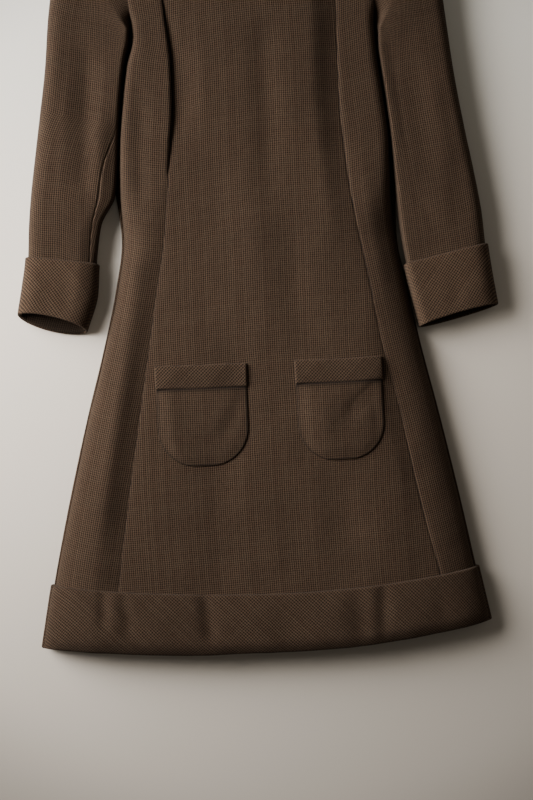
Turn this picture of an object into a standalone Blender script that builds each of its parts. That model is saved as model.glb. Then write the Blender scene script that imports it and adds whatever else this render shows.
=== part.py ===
"""An a-line dress of brown wool, laid on its back on a flat surface.

Metres. X runs across the dress, Y from hem to neck, and Z up from the surface that it lies on.
"left" is the -X side as seen from above. Every panel is a closed wall of cloth. Its outer points
come from the section table below, and its inner points lie one wall thickness inside them.
"""

import math
from collections import namedtuple

import bpy
from mathutils import Vector
from mathutils.bvhtree import BVHTree

for thing in list(bpy.data.objects):
    bpy.data.objects.remove(thing, do_unlink=True)

# ---- driving dimensions ----
WALL = 0.0020  # one layer of the wool
SEAM = 0.0003  # gap left between two sewn pieces
ARMHOLE_GAP = 0.0005  # between a sleeve's first ring and the armhole
LAY_GAP = 0.0004  # gap under a piece that lies on a panel
HEM_Y = -0.533  # middle of the hem, inside its band
TOP_Y = 0.536  # where the neck meets the shoulder
BAND_TOP_Y = -0.452  # middle of the hem band's upper edge
BAND_WALL = 0.0040  # the hem band is folded double
BAND_PAST_HEM = 0.0030  # its rolled fold reaches past the hem
CUFF_WALL = 0.0036
POCKET_WALL = 0.0022
POCKET_BAND_WALL = 0.0042
HALF_HEM = 0.300  # the hem rises towards the side seams
LEFT_HEM_RISE = 0.019
RIGHT_HEM_RISE = 0.030
HEM_ARC_ENDS_Y = -0.100  # above this the cross rows are straight
NECK_HALF = 0.088
FRONT_NECK_DROP = 0.085
BACK_NECK_DROP = 0.020
SHOULDER_SLOPE = 0.36
SHOULDER_ROUND = 0.025  # how far below the shoulder seam the front is rounded over
SHOULDER_Z = 0.008  # height of the shoulder seams
BACK_SHOULDER_ROUND = 0.016
SHOULDER_END_Y = 0.505  # near the shoulder seam's outer end
LEFT_UNDERARM_Y = 0.318  # top of the crack between sleeve and body
RIGHT_UNDERARM_Y = 0.312
SCOOP_DROP = 0.022  # from there down to the head of the side seam, under the sleeve
SCOOP_FADE = 0.060
DOME_POWER = 2.3
SKIRT_DOME, CHEST_DOME = 0.5, 0.8  # the front turns down more gently above the underarm,
CHEST_DOME_FADE = (0.30, 0.40)  # between these places
FLAT_RIM_POWER = 6  # the folds fade out towards the roll lines
BAND_LIFT_FADE = (0.075, 0.022)  # where the back begins to rise over the band, and where it is up
BACK_EDGE_STRIP = 0.014  # least width of the strip where the back turns up
SLEEVE_CLEAR = 0.0016  # between the sleeve's underside and the side panel that it lies on
SHELF_STARTS_Y = (0.055, 0.095)  # from here up the side panel reaches under the sleeve
SLEEVE_HOLD = 0.006  # the sleeve is held up this far past the side panel's edge,
SLEEVE_RAMP = 0.026  # comes down to the surface by here,
SCOOP_HOLD = (0.030, 0.055)  # and likewise towards the armhole
CENTRE_COLUMNS = 14
NECK_COLUMNS = 10  # of them end on the neck, and the others on the shoulders
NECK_SHARE = NECK_COLUMNS / CENTRE_COLUMNS

# One row for each cross section of the body, hem to shoulder. From the roll line out to the edge,
# the side panel lies low under the sleeve. Above the underarm the roll line is the armhole seam.
Section = namedtuple(
    "Section",
    "y left_edge left_roll left_seam right_seam right_roll right_edge crown roll_z side_z",
)
SECTIONS = (
    Section(-0.545, -0.3095, -0.3060, -0.211, 0.258, 0.3045, 0.3080, 0.040, 0.0150, 0.0095),
    Section(-0.430, -0.2885, -0.2850, -0.198, 0.231, 0.2805, 0.2840, 0.044, 0.0150, 0.0095),
    Section(-0.320, -0.2645, -0.2610, -0.182, 0.205, 0.2585, 0.2620, 0.045, 0.0145, 0.0090),
    Section(-0.210, -0.2375, -0.2340, -0.164, 0.184, 0.2345, 0.2380, 0.044, 0.0140, 0.0090),
    Section(-0.120, -0.2130, -0.2095, -0.149, 0.163, 0.2135, 0.2170, 0.043, 0.0140, 0.0090),
    Section(-0.040, -0.1940, -0.1905, -0.136, 0.149, 0.1975, 0.2010, 0.042, 0.0135, 0.0085),
    Section(0.030, -0.1835, -0.1800, -0.124, 0.136, 0.1855, 0.1890, 0.041, 0.0130, 0.0080),
    Section(0.090, -0.1900, -0.1835, -0.118, 0.126, 0.1825, 0.1890, 0.040, 0.0110, 0.0060),
    Section(0.150, -0.1950, -0.1820, -0.1125, 0.1195, 0.1825, 0.1955, 0.041, 0.0090, 0.0045),
    Section(0.210, -0.2010, -0.1770, -0.108, 0.115, 0.1770, 0.2060, 0.042, 0.0085, 0.0042),
    Section(0.260, -0.2060, -0.1700, -0.1085, 0.1145, 0.1705, 0.2150, 0.042, 0.0085, 0.0042),
    Section(0.300, -0.2110, -0.1605, -0.112, 0.115, 0.1675, 0.2200, 0.041, 0.0085, 0.0042),
    Section(0.318, -0.2120, -0.1605, -0.114, 0.115, 0.1665, 0.2210, 0.041, 0.0110, 0.0045),
    Section(0.334, -0.2130, -0.1622, -0.1155, 0.115, 0.1670, 0.2215, 0.0405, 0.0190, 0.0048),
    Section(0.350, -0.2140, -0.1640, -0.117, 0.115, 0.1680, 0.2220, 0.040, 0.0265, 0.0050),
    Section(0.400, -0.2160, -0.1680, -0.121, 0.119, 0.1710, 0.2220, 0.038, 0.0330, 0.0060),
    Section(0.450, -0.2180, -0.1740, -0.126, 0.125, 0.1765, 0.2220, 0.036, 0.0300, 0.0070),
    Section(0.482, -0.2190, -0.1800, -0.129, 0.129, 0.1820, 0.2220, 0.033, 0.0200, 0.0080),
    Section(0.510, -0.2200, -0.1860, -0.132, 0.132, 0.1880, 0.2220, 0.030, 0.0090, 0.0080),
    Section(0.545, -0.2200, -0.1950, -0.136, 0.136, 0.1970, 0.2220, 0.027, 0.0085, 0.0080),
)

# One row for each ring of a sleeve, armhole to wrist: its outer and inner edge and its height.
Ring = namedtuple("Ring", "outer_x outer_y inner_x inner_y top_z outer_z inner_z")
LEFT_RINGS = (
    Ring(-0.1850, 0.5060, -0.1630, 0.3190, 0.034, 0.0080, 0.0135),
    Ring(-0.2220, 0.4850, -0.1632, 0.3110, 0.034, 0.0095, 0.0155),
    Ring(-0.2500, 0.4420, -0.1640, 0.3050, 0.038, 0.0110, 0.0180),
    Ring(-0.2650, 0.3880, -0.1670, 0.2920, 0.039, 0.0110, 0.0180),
    Ring(-0.2740, 0.3300, -0.1725, 0.2690, 0.040, 0.0110, 0.0180),
    Ring(-0.2800, 0.2640, -0.1785, 0.2290, 0.040, 0.0110, 0.0180),
    Ring(-0.2885, 0.2040, -0.1835, 0.1800, 0.039, 0.0110, 0.0180),
    Ring(-0.2970, 0.1460, -0.1875, 0.1280, 0.038, 0.0110, 0.0170),
    Ring(-0.3050, 0.0880, -0.1925, 0.0880, 0.037, 0.0110, 0.0160),
    Ring(-0.3085, 0.0500, -0.2100, 0.0500, 0.036, 0.0110, 0.0140),
    Ring(-0.3125, 0.0080, -0.2145, -0.0040, 0.034, 0.0120, 0.0130),
    Ring(-0.3165, -0.0300, -0.2170, -0.0420, 0.033, 0.0120, 0.0130),
    Ring(-0.3208, -0.0680, -0.2330, -0.0900, 0.031, 0.0120, 0.0120),
)
RIGHT_RINGS = (
    Ring(0.1870, 0.5050, 0.1700, 0.3130, 0.034, 0.0080, 0.0135),
    Ring(0.2220, 0.4830, 0.1712, 0.3030, 0.034, 0.0095, 0.0155),
    Ring(0.2460, 0.4350, 0.1716, 0.2930, 0.037, 0.0105, 0.0175),
    Ring(0.2570, 0.3780, 0.1720, 0.2780, 0.039, 0.0110, 0.0180),
    Ring(0.2640, 0.3180, 0.1745, 0.2500, 0.040, 0.0110, 0.0180),
    Ring(0.2730, 0.2420, 0.1795, 0.2120, 0.040, 0.0110, 0.0180),
    Ring(0.2850, 0.1680, 0.1860, 0.1520, 0.039, 0.0110, 0.0180),
    Ring(0.2965, 0.1060, 0.1905, 0.1000, 0.038, 0.0110, 0.0170),
    Ring(0.3050, 0.0520, 0.1945, 0.0460, 0.037, 0.0110, 0.0160),
    Ring(0.3090, 0.0050, 0.2045, -0.0200, 0.035, 0.0110, 0.0140),
    Ring(0.3140, -0.0350, 0.2095, -0.0560, 0.033, 0.0120, 0.0130),
    Ring(0.3200, -0.0720, 0.2190, -0.0980, 0.031, 0.0120, 0.0120),
)
RING_SHARES = (0, 0.04, 0.08, 0.13, 0.19, 0.26, 0.34, 0.42, 0.5, 0.58, 0.65, 0.71, 0.78)
CUFF_SHARES = (0.835, 0.89, 0.945, 1.0)
CUFF_PAST_END = 0.0025
CUFF_LIFT_SHARES = (0.74, 0.82)  # where the sleeve's underside rises onto its cuff
CUFF_ARC_STARTS = 0.86
ARMHOLE_FADE = 0.10  # share of a sleeve's length in which it turns into the armhole's line
LEFT_CUFF_ARC = 0.017  # how much shorter the left cuff's upper edge is, so its inside shows
RIGHT_CUFF_ARC = 0.004
SLEEVE_BULGE = 2.2
SLEEVE_FLAT = 0.68  # share of its half width on which the underside is flat,
SLEEVE_ARCH = 0.0006  # but for a slight rise in the middle

# One row for each large soft fold: a trough from one end to the other. A ridge has a depth below 0.
Fold = namedtuple("Fold", "x_from y_from x_to y_to half_width depth")
FOLD_SETS_IN = (-0.3, 0.25)  # shares of its length over which a fold sets in, and likewise ends
BODY_FOLDS = (
    Fold(-0.110, 0.345, -0.108, 0.160, 0.011, 0.0050),  # along the left princess seam
    Fold(-0.150, -0.080, -0.212, -0.440, 0.022, 0.0045),  # left of it, down the skirt
    Fold(-0.190, -0.150, -0.255, -0.440, 0.016, -0.0025),
    Fold(0.098, 0.345, 0.105, 0.080, 0.020, 0.0042),  # left of the right princess seam
    Fold(0.020, 0.260, 0.024, 0.100, 0.024, 0.0018),
    Fold(0.045, 0.080, 0.050, -0.120, 0.022, 0.0018),
    Fold(0.165, -0.110, 0.215, -0.400, 0.018, 0.0026),
    Fold(-0.010, 0.090, 0.000, -0.140, 0.026, -0.0016),
    Fold(-0.055, -0.250, -0.070, -0.430, 0.028, 0.0022),
    Fold(0.100, -0.290, 0.110, -0.430, 0.030, 0.0020),
)
SLEEVE_FOLDS = (
    Fold(-0.228, 0.250, -0.236, 0.060, 0.017, 0.0040),  # the drag line down the left sleeve
    Fold(-0.262, 0.330, -0.280, 0.120, 0.016, -0.0020),
    Fold(-0.205, 0.190, -0.215, 0.110, 0.016, -0.0025),
    Fold(0.203, 0.260, 0.222, 0.150, 0.015, 0.0040),  # beside the right sleeve's ridge
    Fold(0.186, 0.250, 0.203, 0.140, 0.010, -0.0022),
    Fold(0.262, 0.210, 0.285, 0.050, 0.018, 0.0022),
)

# ---- colours, as linear RGB ----
WOOL = (0.070, 0.042, 0.024)
WOOL_BIAS = (0.060, 0.036, 0.021)


# ---- curves through the tables ----
def slopes(places, values):
    """Slopes of a curve through the values that never overshoots them."""
    steps = [
        (values[k + 1] - values[k]) / (places[k + 1] - places[k])
        for k in range(len(values) - 1)
    ]
    middle = [
        0.0 if a * b <= 0 else 2 * a * b / (a + b) for a, b in zip(steps, steps[1:])
    ]
    return [steps[0]] + middle + [steps[-1]]


def through(places, values):
    """A function of place whose curve passes through every value."""
    slope = slopes(places, values)

    def value(place):
        place = min(max(place, places[0]), places[-1])
        k = 0
        while k < len(places) - 2 and place > places[k + 1]:
            k += 1
        span = places[k + 1] - places[k]
        f = (place - places[k]) / span
        g = 1 - f
        return (
            values[k] * (1 + 2 * f) * g * g
            + values[k + 1] * (3 - 2 * f) * f * f
            + span * (slope[k] * f * g * g - slope[k + 1] * f * f * g)
        )

    return value


def curves(table, places):
    """The table's columns, each as a function of place."""
    return {
        name: through(places, [getattr(row, name) for row in table])
        for name in table[0]._fields
    }


BODY = curves(SECTIONS, [row.y for row in SECTIONS])


def along(rings):
    """A sleeve's columns as functions of the share of its length, measured down its middle."""
    middle = [
        Vector((r.outer_x + r.inner_x, r.outer_y + r.inner_y)) / 2 for r in rings
    ]
    runs = [0.0]
    for a, b in zip(middle, middle[1:]):
        runs.append(runs[-1] + (b - a).length)
    return curves(rings, [run / runs[-1] for run in runs])


SLEEVES = {-1: along(LEFT_RINGS), 1: along(RIGHT_RINGS)}


def smooth(low, high, value):
    f = min(max((value - low) / (high - low), 0.0), 1.0)
    return f * f * (3 - 2 * f)


def mix(a, b, f):
    return a + (b - a) * f


def fold_depth(folds, x, y):
    """How far the folds press the cloth in at a place."""
    depth = 0.0
    for fold in folds:
        start = Vector((fold.x_from, fold.y_from))
        run = Vector((fold.x_to, fold.y_to)) - start
        away = Vector((x, y)) - start
        share = away.dot(run) / run.length_squared
        length = smooth(*FOLD_SETS_IN, share) * smooth(*FOLD_SETS_IN, 1 - share)
        off = abs(away.cross(run)) / run.length
        depth += fold.depth * length * math.exp(-((off / fold.half_width) ** 2))
    return depth


# ---- the body's form ----
def shoulder_y(x):
    return TOP_Y - SHOULDER_SLOPE * max(abs(x) - NECK_HALF, 0.0)


def front_height(x, y):
    """The outer height of the front, between its two roll lines."""
    left, right = BODY["left_roll"](y), BODY["right_roll"](y)
    t = min(abs(2 * x - left - right) / (right - left), 1.0)
    low, crown = BODY["roll_z"](y), BODY["crown"](y)
    power = mix(SKIRT_DOME, CHEST_DOME, smooth(*CHEST_DOME_FADE, y))
    z = low + (crown - low) * (1 - t**DOME_POWER) ** power
    z -= fold_depth(BODY_FOLDS, x, y) * (1 - t**FLAT_RIM_POWER)
    below = max(shoulder_y(x) - y, 0.0)
    if below < SHOULDER_ROUND:
        turn = math.sqrt(1 - (1 - below / SHOULDER_ROUND) ** 2)
        z = mix(SHOULDER_Z, max(z, SHOULDER_Z), turn)
    return z


def band_lift(y):
    """The back rises over the hem band beneath it."""
    starts, ends = BAND_LIFT_FADE
    return (BAND_WALL + LAY_GAP) * smooth(BAND_TOP_Y + starts, BAND_TOP_Y + ends, y)


def hem_rise(x):
    rise = LEFT_HEM_RISE if x < 0 else RIGHT_HEM_RISE
    return rise * (x / HALF_HEM) ** 2


def underarm_y(x):
    return mix(LEFT_UNDERARM_Y, RIGHT_UNDERARM_Y, smooth(-0.17, 0.17, x))


LOW_ROWS = (
    HEM_Y, -0.514, -0.484, BAND_TOP_Y, -0.422, -0.385, -0.345, -0.305, -0.265, -0.225, -0.185,
    -0.145, -0.105, -0.065, -0.025, 0.015, 0.055, 0.095, 0.135, 0.175, 0.215, 0.250, 0.285,
)  # fmt: skip
TOP_SHARES = (0.0, 0.18, 0.36, 0.54, 0.70, 0.84, 0.93, 0.98, 1.0)
UNDERARM_ROW = len(LOW_ROWS)
ROWS = UNDERARM_ROW + len(TOP_SHARES)
BAND_TOP_ROW = LOW_ROWS.index(BAND_TOP_Y)


def low_place(row, line):
    """Where a lengthwise line, a function of y, crosses one of the rows below the underarm."""
    y = LOW_ROWS[row]
    fade = smooth(HEM_ARC_ENDS_Y, BAND_TOP_Y, y)
    for _ in range(2):
        y = LOW_ROWS[row] + hem_rise(line(y)) * fade
    return line(y), y


def high_place(row, line, top_x, top_y, base_y=None):
    """The same above the underarm, where the rows close up on the neck and the shoulders."""
    share = TOP_SHARES[row - UNDERARM_ROW]
    base = underarm_y(line(LEFT_UNDERARM_Y)) if base_y is None else base_y
    y = mix(base, top_y, share)
    return mix(line(y), top_x, smooth(0.25, 1.0, share)), y


def shoulder_end_x(side):
    """Where the shoulder seam meets the armhole."""
    roll = BODY["left_roll" if side < 0 else "right_roll"]
    return roll(shoulder_y(roll(SHOULDER_END_Y)))


def armhole_place(side, row):
    """A point of the armhole, shared by the front, the back and the sleeve's first ring."""
    roll = BODY["left_roll" if side < 0 else "right_roll"]
    base = LEFT_UNDERARM_Y if side < 0 else RIGHT_UNDERARM_Y
    top_x = shoulder_end_x(side)
    return high_place(row, roll, top_x, shoulder_y(top_x), base)


def armhole_x(side, y):
    """The armhole's straight steps between rows, as a function of y."""
    steps = [armhole_place(side, row) for row in range(UNDERARM_ROW, ROWS)]
    for (x_low, y_low), (x_high, y_high) in zip(steps, steps[1:]):
        if y <= y_high:
            break
    return mix(x_low, x_high, (y - y_low) / (y_high - y_low))


def panel_line(left, right, share):
    return lambda y: mix(BODY[left](y), BODY[right](y), share)


def neck_place(share, drop):
    """A point of the centre panel's top edge: shoulder, neck curve, shoulder."""
    across = 2 * share - 1
    if abs(across) <= NECK_SHARE:
        angle = across / NECK_SHARE * math.pi / 2
        return NECK_HALF * math.sin(angle), TOP_Y - drop * math.cos(angle)
    beyond = (abs(across) - NECK_SHARE) / (1 - NECK_SHARE)
    x = math.copysign(mix(NECK_HALF, BODY["right_seam"](TOP_Y), beyond), across)
    return x, shoulder_y(x)


def spread(left, right, seam, roll, share):
    """A line between seam and roll line, closer together where the dome turns down."""

    def line(y):
        middle, half = (BODY[left](y) + BODY[right](y)) / 2, (BODY[right](y) - BODY[left](y)) / 2
        a = math.asin((BODY[seam](y) - middle) / half)
        b = math.copysign(math.pi / 2, BODY[roll](y) - middle)
        return middle + half * math.sin(mix(a, b, share))

    return line


# ---- solids from grids of points ----
def normals_of(grid, cells):
    """A normal at each point: the mean of its cells' normals."""
    total = {key: Vector() for key in grid}
    for i, j in cells:
        a, b, c, d = (grid[key] for key in ((i, j), (i, j + 1), (i + 1, j + 1), (i + 1, j)))
        n = (c - a).cross(d - b)
        for key in ((i, j), (i, j + 1), (i + 1, j + 1), (i + 1, j)):
            total[key] += n.normalized()
    return {key: n.normalized() for key, n in total.items()}


def pin(normals, keys, axis):
    """Take one axis out of the normals along a seam, so that both sides of it stay apart."""
    for key in keys:
        if key in normals:
            normals[key][axis] = 0.0
            normals[key].normalize()


def wall(name, outer, inner, cells, colour, wrap=0):
    """A closed solid between two grids of points that share their keys."""
    keys = sorted({k for i, j in cells for k in corners_of(i, j, wrap)})
    place = {key: n for n, key in enumerate(keys)}
    count = len(keys)
    points = [outer[k] for k in keys] + [inner[k] for k in keys]
    faces, sides = [], {}
    for i, j in cells:
        a, b, c, d = (place[k] for k in corners_of(i, j, wrap))
        faces += [(a, b, c), (a, c, d)]
        faces += [(a + count, c + count, b + count), (a + count, d + count, c + count)]
        for p, q in ((a, b), (b, c), (c, d), (d, a)):
            sides[(p, q)] = True
    for p, q in sides:
        if (q, p) in sides:
            continue
        # both sides of a seam cut their rims along the same diagonals
        if p < q:
            faces += [(q, p, q + count), (p, p + count, q + count)]
        else:
            faces += [(q, p, p + count), (q, p + count, q + count)]
    return solid(name, points, faces, colour)


def corners_of(i, j, wrap=0):
    after = (j + 1) % wrap if wrap else j + 1
    return (i, j), (i, after), (i + 1, after), (i + 1, j)


def solid(name, points, faces, colour):
    mesh = bpy.data.meshes.new(name)
    mesh.from_pydata(points, [], faces)
    mesh.validate()
    mesh.shade_smooth()
    mesh.set_sharp_from_angle(angle=math.radians(40))
    thing = bpy.data.objects.new(name, mesh)
    bpy.context.scene.collection.objects.link(thing)
    material = bpy.data.materials.new(name)
    material.use_nodes = True
    shader = material.node_tree.nodes["Principled BSDF"]
    shader.inputs["Base Color"].default_value = (*colour, 1)
    shader.inputs["Roughness"].default_value = 0.95
    shader.inputs["Metallic"].default_value = 0.0
    mesh.materials.append(material)
    return thing


def moved(grid, normals, distance):
    return {key: grid[key] + normals[key] * distance for key in grid}


# ---- front ----
SIDE_COLUMNS = 5
SHELF_SHARES = (0.4, 0.8, 1.0)


def front_centre_grid():
    grid = {}
    for j in range(CENTRE_COLUMNS + 1):
        share = j / CENTRE_COLUMNS
        nudge = {0: SEAM / 2, CENTRE_COLUMNS: -SEAM / 2}.get(j, 0.0)
        line = panel_line("left_seam", "right_seam", share)
        for i in range(ROWS):
            if i < UNDERARM_ROW:
                x, y = low_place(i, line)
            else:
                x, y = high_place(i, line, *neck_place(share, FRONT_NECK_DROP))
            z = front_height(x, y) + (SEAM / 2 if i == ROWS - 1 else 0)
            grid[i, j] = Vector((x + nudge, y, z))
    return grid


def side_front_grid(side):
    """Columns from princess seam to roll line, then over the shelf to the side seam."""
    seam, roll, edge = (
        ("left_seam", "left_roll", "left_edge") if side < 0 else ("right_seam", "right_roll", "right_edge")
    )
    grid = {}
    base = LEFT_UNDERARM_Y if side < 0 else RIGHT_UNDERARM_Y
    for j in range(SIDE_COLUMNS + 1):
        line = spread("left_roll", "right_roll", seam, roll, j / SIDE_COLUMNS)
        for i in range(ROWS):
            if i < UNDERARM_ROW:
                x, y = low_place(i, line)
            else:
                neck_end = math.copysign(BODY["right_seam"](TOP_Y), side)
                top_x = mix(neck_end, shoulder_end_x(side), j / SIDE_COLUMNS)
                seam_base = underarm_y(BODY[seam](base))
                x, y = high_place(i, line, top_x, shoulder_y(top_x), mix(seam_base, base, j / SIDE_COLUMNS))
            z = front_height(x, y) + (SEAM / 2 if i == ROWS - 1 else 0)
            grid[i, j * side] = Vector((x + (side * SEAM / 2 if j == 0 else 0), y, z))
    for k, share in enumerate(SHELF_SHARES):
        column = SIDE_COLUMNS + 1 + k
        line = panel_line(roll, edge, share)
        for i in range(UNDERARM_ROW + 1):
            if i < UNDERARM_ROW:
                x, y = low_place(i, line)
            else:
                x, y = line(base), base
            y -= SCOOP_DROP * share * smooth(base - SCOOP_FADE, base, y)
            low, high = BODY["side_z"](y), BODY["roll_z"](y)
            z = low + (high - low) * math.sqrt(1 - share**5)
            grid[i, column * side] = Vector((x, y, z + (SEAM / 2 if share == 1 else 0)))
    return grid


def cells_in(grid):
    return [(i, j) for i, j in grid if all(k in grid for k in corners_of(i, j))]


def build_front():
    """The three front panels. It returns the points that the hem band is made from."""
    centre = front_centre_grid()
    normals = normals_of(centre, cells_in(centre))
    seams = [(i, j) for i in range(ROWS) for j in (0, CENTRE_COLUMNS)]
    pin(normals, seams, 0)
    shoulders = [
        (ROWS - 1, j)
        for j in range(CENTRE_COLUMNS + 1)
        if abs(2 * j / CENTRE_COLUMNS - 1) > NECK_SHARE - 0.01
    ]
    pin(normals, shoulders, 2)
    panel = wall("front_centre", centre, moved(centre, normals, -WALL), cells_in(centre), WOOL)
    hem_rows = [dict() for _ in range(BAND_TOP_ROW + 1)]
    for i in range(BAND_TOP_ROW + 1):
        for j in range(1, CENTRE_COLUMNS):
            hem_rows[i][j] = centre[i, j]
    last = SIDE_COLUMNS + len(SHELF_SHARES)
    for side, name in ((-1, "side_front_left"), (1, "side_front_right")):
        grid = side_front_grid(side)
        normals = normals_of(grid, cells_in(grid))
        pin(normals, [(i, 0) for i in range(ROWS)], 0)
        pin(normals, [(i, SIDE_COLUMNS * side) for i in range(UNDERARM_ROW + 1, ROWS)], 0)
        pin(normals, [(i, last * side) for i in range(ROWS)], 2)
        pin(normals, [(ROWS - 1, j * side) for j in range(SIDE_COLUMNS + 1)], 2)
        wall(name, grid, moved(grid, normals, -WALL), cells_in(grid), WOOL)
        for i in range(BAND_TOP_ROW + 1):
            for j in range(last + 1):
                column = -j if side < 0 else CENTRE_COLUMNS + j
                hem_rows[i][column] = grid[i, j * side]
    return panel, {(i, j): p for i, row in enumerate(hem_rows) for j, p in row.items()}


# ---- back ----
BACK_COLUMNS = 7
BACK_NECK_COLUMNS = 4
BACK_TURN = (0.0, 0.35, 0.7, 1.0)  # shares of the quarter turn from flat to the side seam


def back_grid(side):
    roll, edge = ("left_roll", "left_edge") if side < 0 else ("right_roll", "right_edge")
    base = LEFT_UNDERARM_Y if side < 0 else RIGHT_UNDERARM_Y
    grid = {}

    def strip(y):
        """Where the turned-up strip begins, or the armhole."""
        inner = BODY[edge](y) - side * BACK_EDGE_STRIP
        return min(BODY[roll](y), inner, key=abs) if y < base - 0.001 else BODY[roll](y)

    for j in range(BACK_COLUMNS + 1):
        share = j / BACK_COLUMNS

        def line(y, share=share):
            return strip(y) * share

        for i in range(ROWS):
            if i < UNDERARM_ROW:
                x, y = low_place(i, line)
            else:
                top_x, top_y = back_top(side, share)
                x, y = high_place(i, line, top_x, top_y, mix(underarm_y(0), base, share))
            below = max(shoulder_y(x) - y, 0.0)
            turn = max(1 - below / BACK_SHOULDER_ROUND, 0.0) if i >= UNDERARM_ROW else 0.0
            z = band_lift(y - hem_rise(x)) + SHOULDER_Z * (1 - math.sqrt(1 - turn * turn))
            if i == ROWS - 1:
                z = max(z - SEAM / 2, 0.0)
            grid[i, j * side] = Vector((x + (side * SEAM / 2 if j == 0 else 0), y, z))
    for k, turn in enumerate(BACK_TURN):
        column = (BACK_COLUMNS + 1 + k) * side
        for i in range(UNDERARM_ROW + 1):
            if i < UNDERARM_ROW:
                x, y = low_place(i, BODY[edge])
            else:
                x, y = BODY[edge](base), base
            start = strip(y)
            radius = min(BODY["side_z"](y) * 1.25, abs(x - start) * 0.9)
            x -= side * radius * (1 - math.sin(turn * math.pi / 2))
            share = (x - start) / (BODY[edge](y) - start)
            low = band_lift(y - hem_rise(x))
            z = low + (BODY["side_z"](y) - low) * (1 - math.cos(turn * math.pi / 2))
            y -= SCOOP_DROP * share * smooth(base - SCOOP_FADE, base, y)
            grid[i, column] = Vector((x, y, z - (SEAM / 2 if turn == 1 else 0)))
    return grid


def back_top(side, share):
    """A point of a back panel's top edge: half the neck curve, then the shoulder."""
    neck = BACK_NECK_COLUMNS / BACK_COLUMNS
    if share <= neck:
        angle = share / neck * math.pi / 2
        return side * NECK_HALF * math.sin(angle), TOP_Y - BACK_NECK_DROP * math.cos(angle)
    x = mix(side * NECK_HALF, shoulder_end_x(side), (share - neck) / (1 - neck))
    return x, shoulder_y(x)


def build_back():
    band = {}
    last = BACK_COLUMNS + len(BACK_TURN)
    for side, name in ((-1, "back_left"), (1, "back_right")):
        grid = back_grid(side)
        flipped = {(i, -j): p for (i, j), p in grid.items()}
        normals = normals_of(flipped, cells_in(flipped))
        pin(normals, [(i, 0) for i in range(ROWS)], 0)
        pin(normals, [(i, -BACK_COLUMNS * side) for i in range(UNDERARM_ROW + 1, ROWS)], 0)
        pin(normals, [(i, -last * side) for i in range(ROWS)], 2)
        pin(normals, [(ROWS - 1, -j * side) for j in range(BACK_NECK_COLUMNS, BACK_COLUMNS + 1)], 2)
        inner = moved(flipped, normals, -WALL)
        wall(name, flipped, inner, cells_in(flipped), WOOL)
        for (i, j), p in flipped.items():
            if i <= BAND_TOP_ROW and j != 0:
                band[i, j] = p
            elif i <= BAND_TOP_ROW:
                band[i, j] = Vector((0, p.y, p.z))
    return band


# ---- hem band ----
def build_hem(name, points, facing):
    """A doubled band over a panel's lowest rows, with its fold rolled past the hem."""
    columns = sorted({j for i, j in points})
    grid = {(i + 1, n): points[i, j] for i in range(BAND_TOP_ROW + 1) for n, j in enumerate(columns)}
    normals = normals_of(grid, cells_in(grid))
    for n in (0, len(columns) - 1):
        pin(normals, [(i, n) for i in range(ROWS)], 2)
    inner, outer = {}, {}
    for (i, n), p in grid.items():
        inner[i, n] = p + normals[i, n] * LAY_GAP
        outer[i, n] = p + normals[i, n] * (LAY_GAP + BAND_WALL)
    for n in range(len(columns)):
        down = Vector((0, -BAND_PAST_HEM, 0))
        inner[0, n] = inner[1, n] + down + normals[1, n] * BAND_WALL * 0.2
        outer[0, n] = outer[1, n] + down - normals[1, n] * BAND_WALL * 0.2
        top = BAND_TOP_ROW + 1
        outer[top, n] -= normals[top, n] * BAND_WALL * 0.15
    if facing < 0:
        for key, p in outer.items():
            p.z = max(p.z, 0.0)
    cells = [(i, n) for i in range(BAND_TOP_ROW + 1) for n in range(len(columns) - 1)]
    return wall(name, outer, inner, cells, WOOL_BIAS)


# ---- sleeves ----
RING_POINTS = 22
FRONT_SEAM_POINT = 9  # round a ring from the outer edge, over the top, to the inner edge and under
BACK_SEAM_POINT = 20


def sleeve_lift(side, x, y):
    """How high the side panel's shelf holds up the sleeve's underside."""
    edge, roll = ("left_edge", "left_roll") if side < 0 else ("right_edge", "right_roll")
    base = LEFT_UNDERARM_Y if side < 0 else RIGHT_UNDERARM_Y
    past_edge = abs(x) - abs(BODY[edge](y))
    past_roll = (abs(x) - abs(BODY[roll](y))) / max(abs(BODY[edge](y)) - abs(BODY[roll](y)), 0.004)
    scoop = base - SCOOP_DROP * min(max(past_roll, 0.0), 1.0)
    held = smooth(*SHELF_STARTS_Y, y) * smooth(SLEEVE_RAMP, SLEEVE_HOLD, past_edge)
    held *= smooth(scoop + SCOOP_HOLD[1], scoop + SCOOP_HOLD[0], y)
    return (BODY["roll_z"](min(y, base)) + SLEEVE_CLEAR) * held


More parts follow.
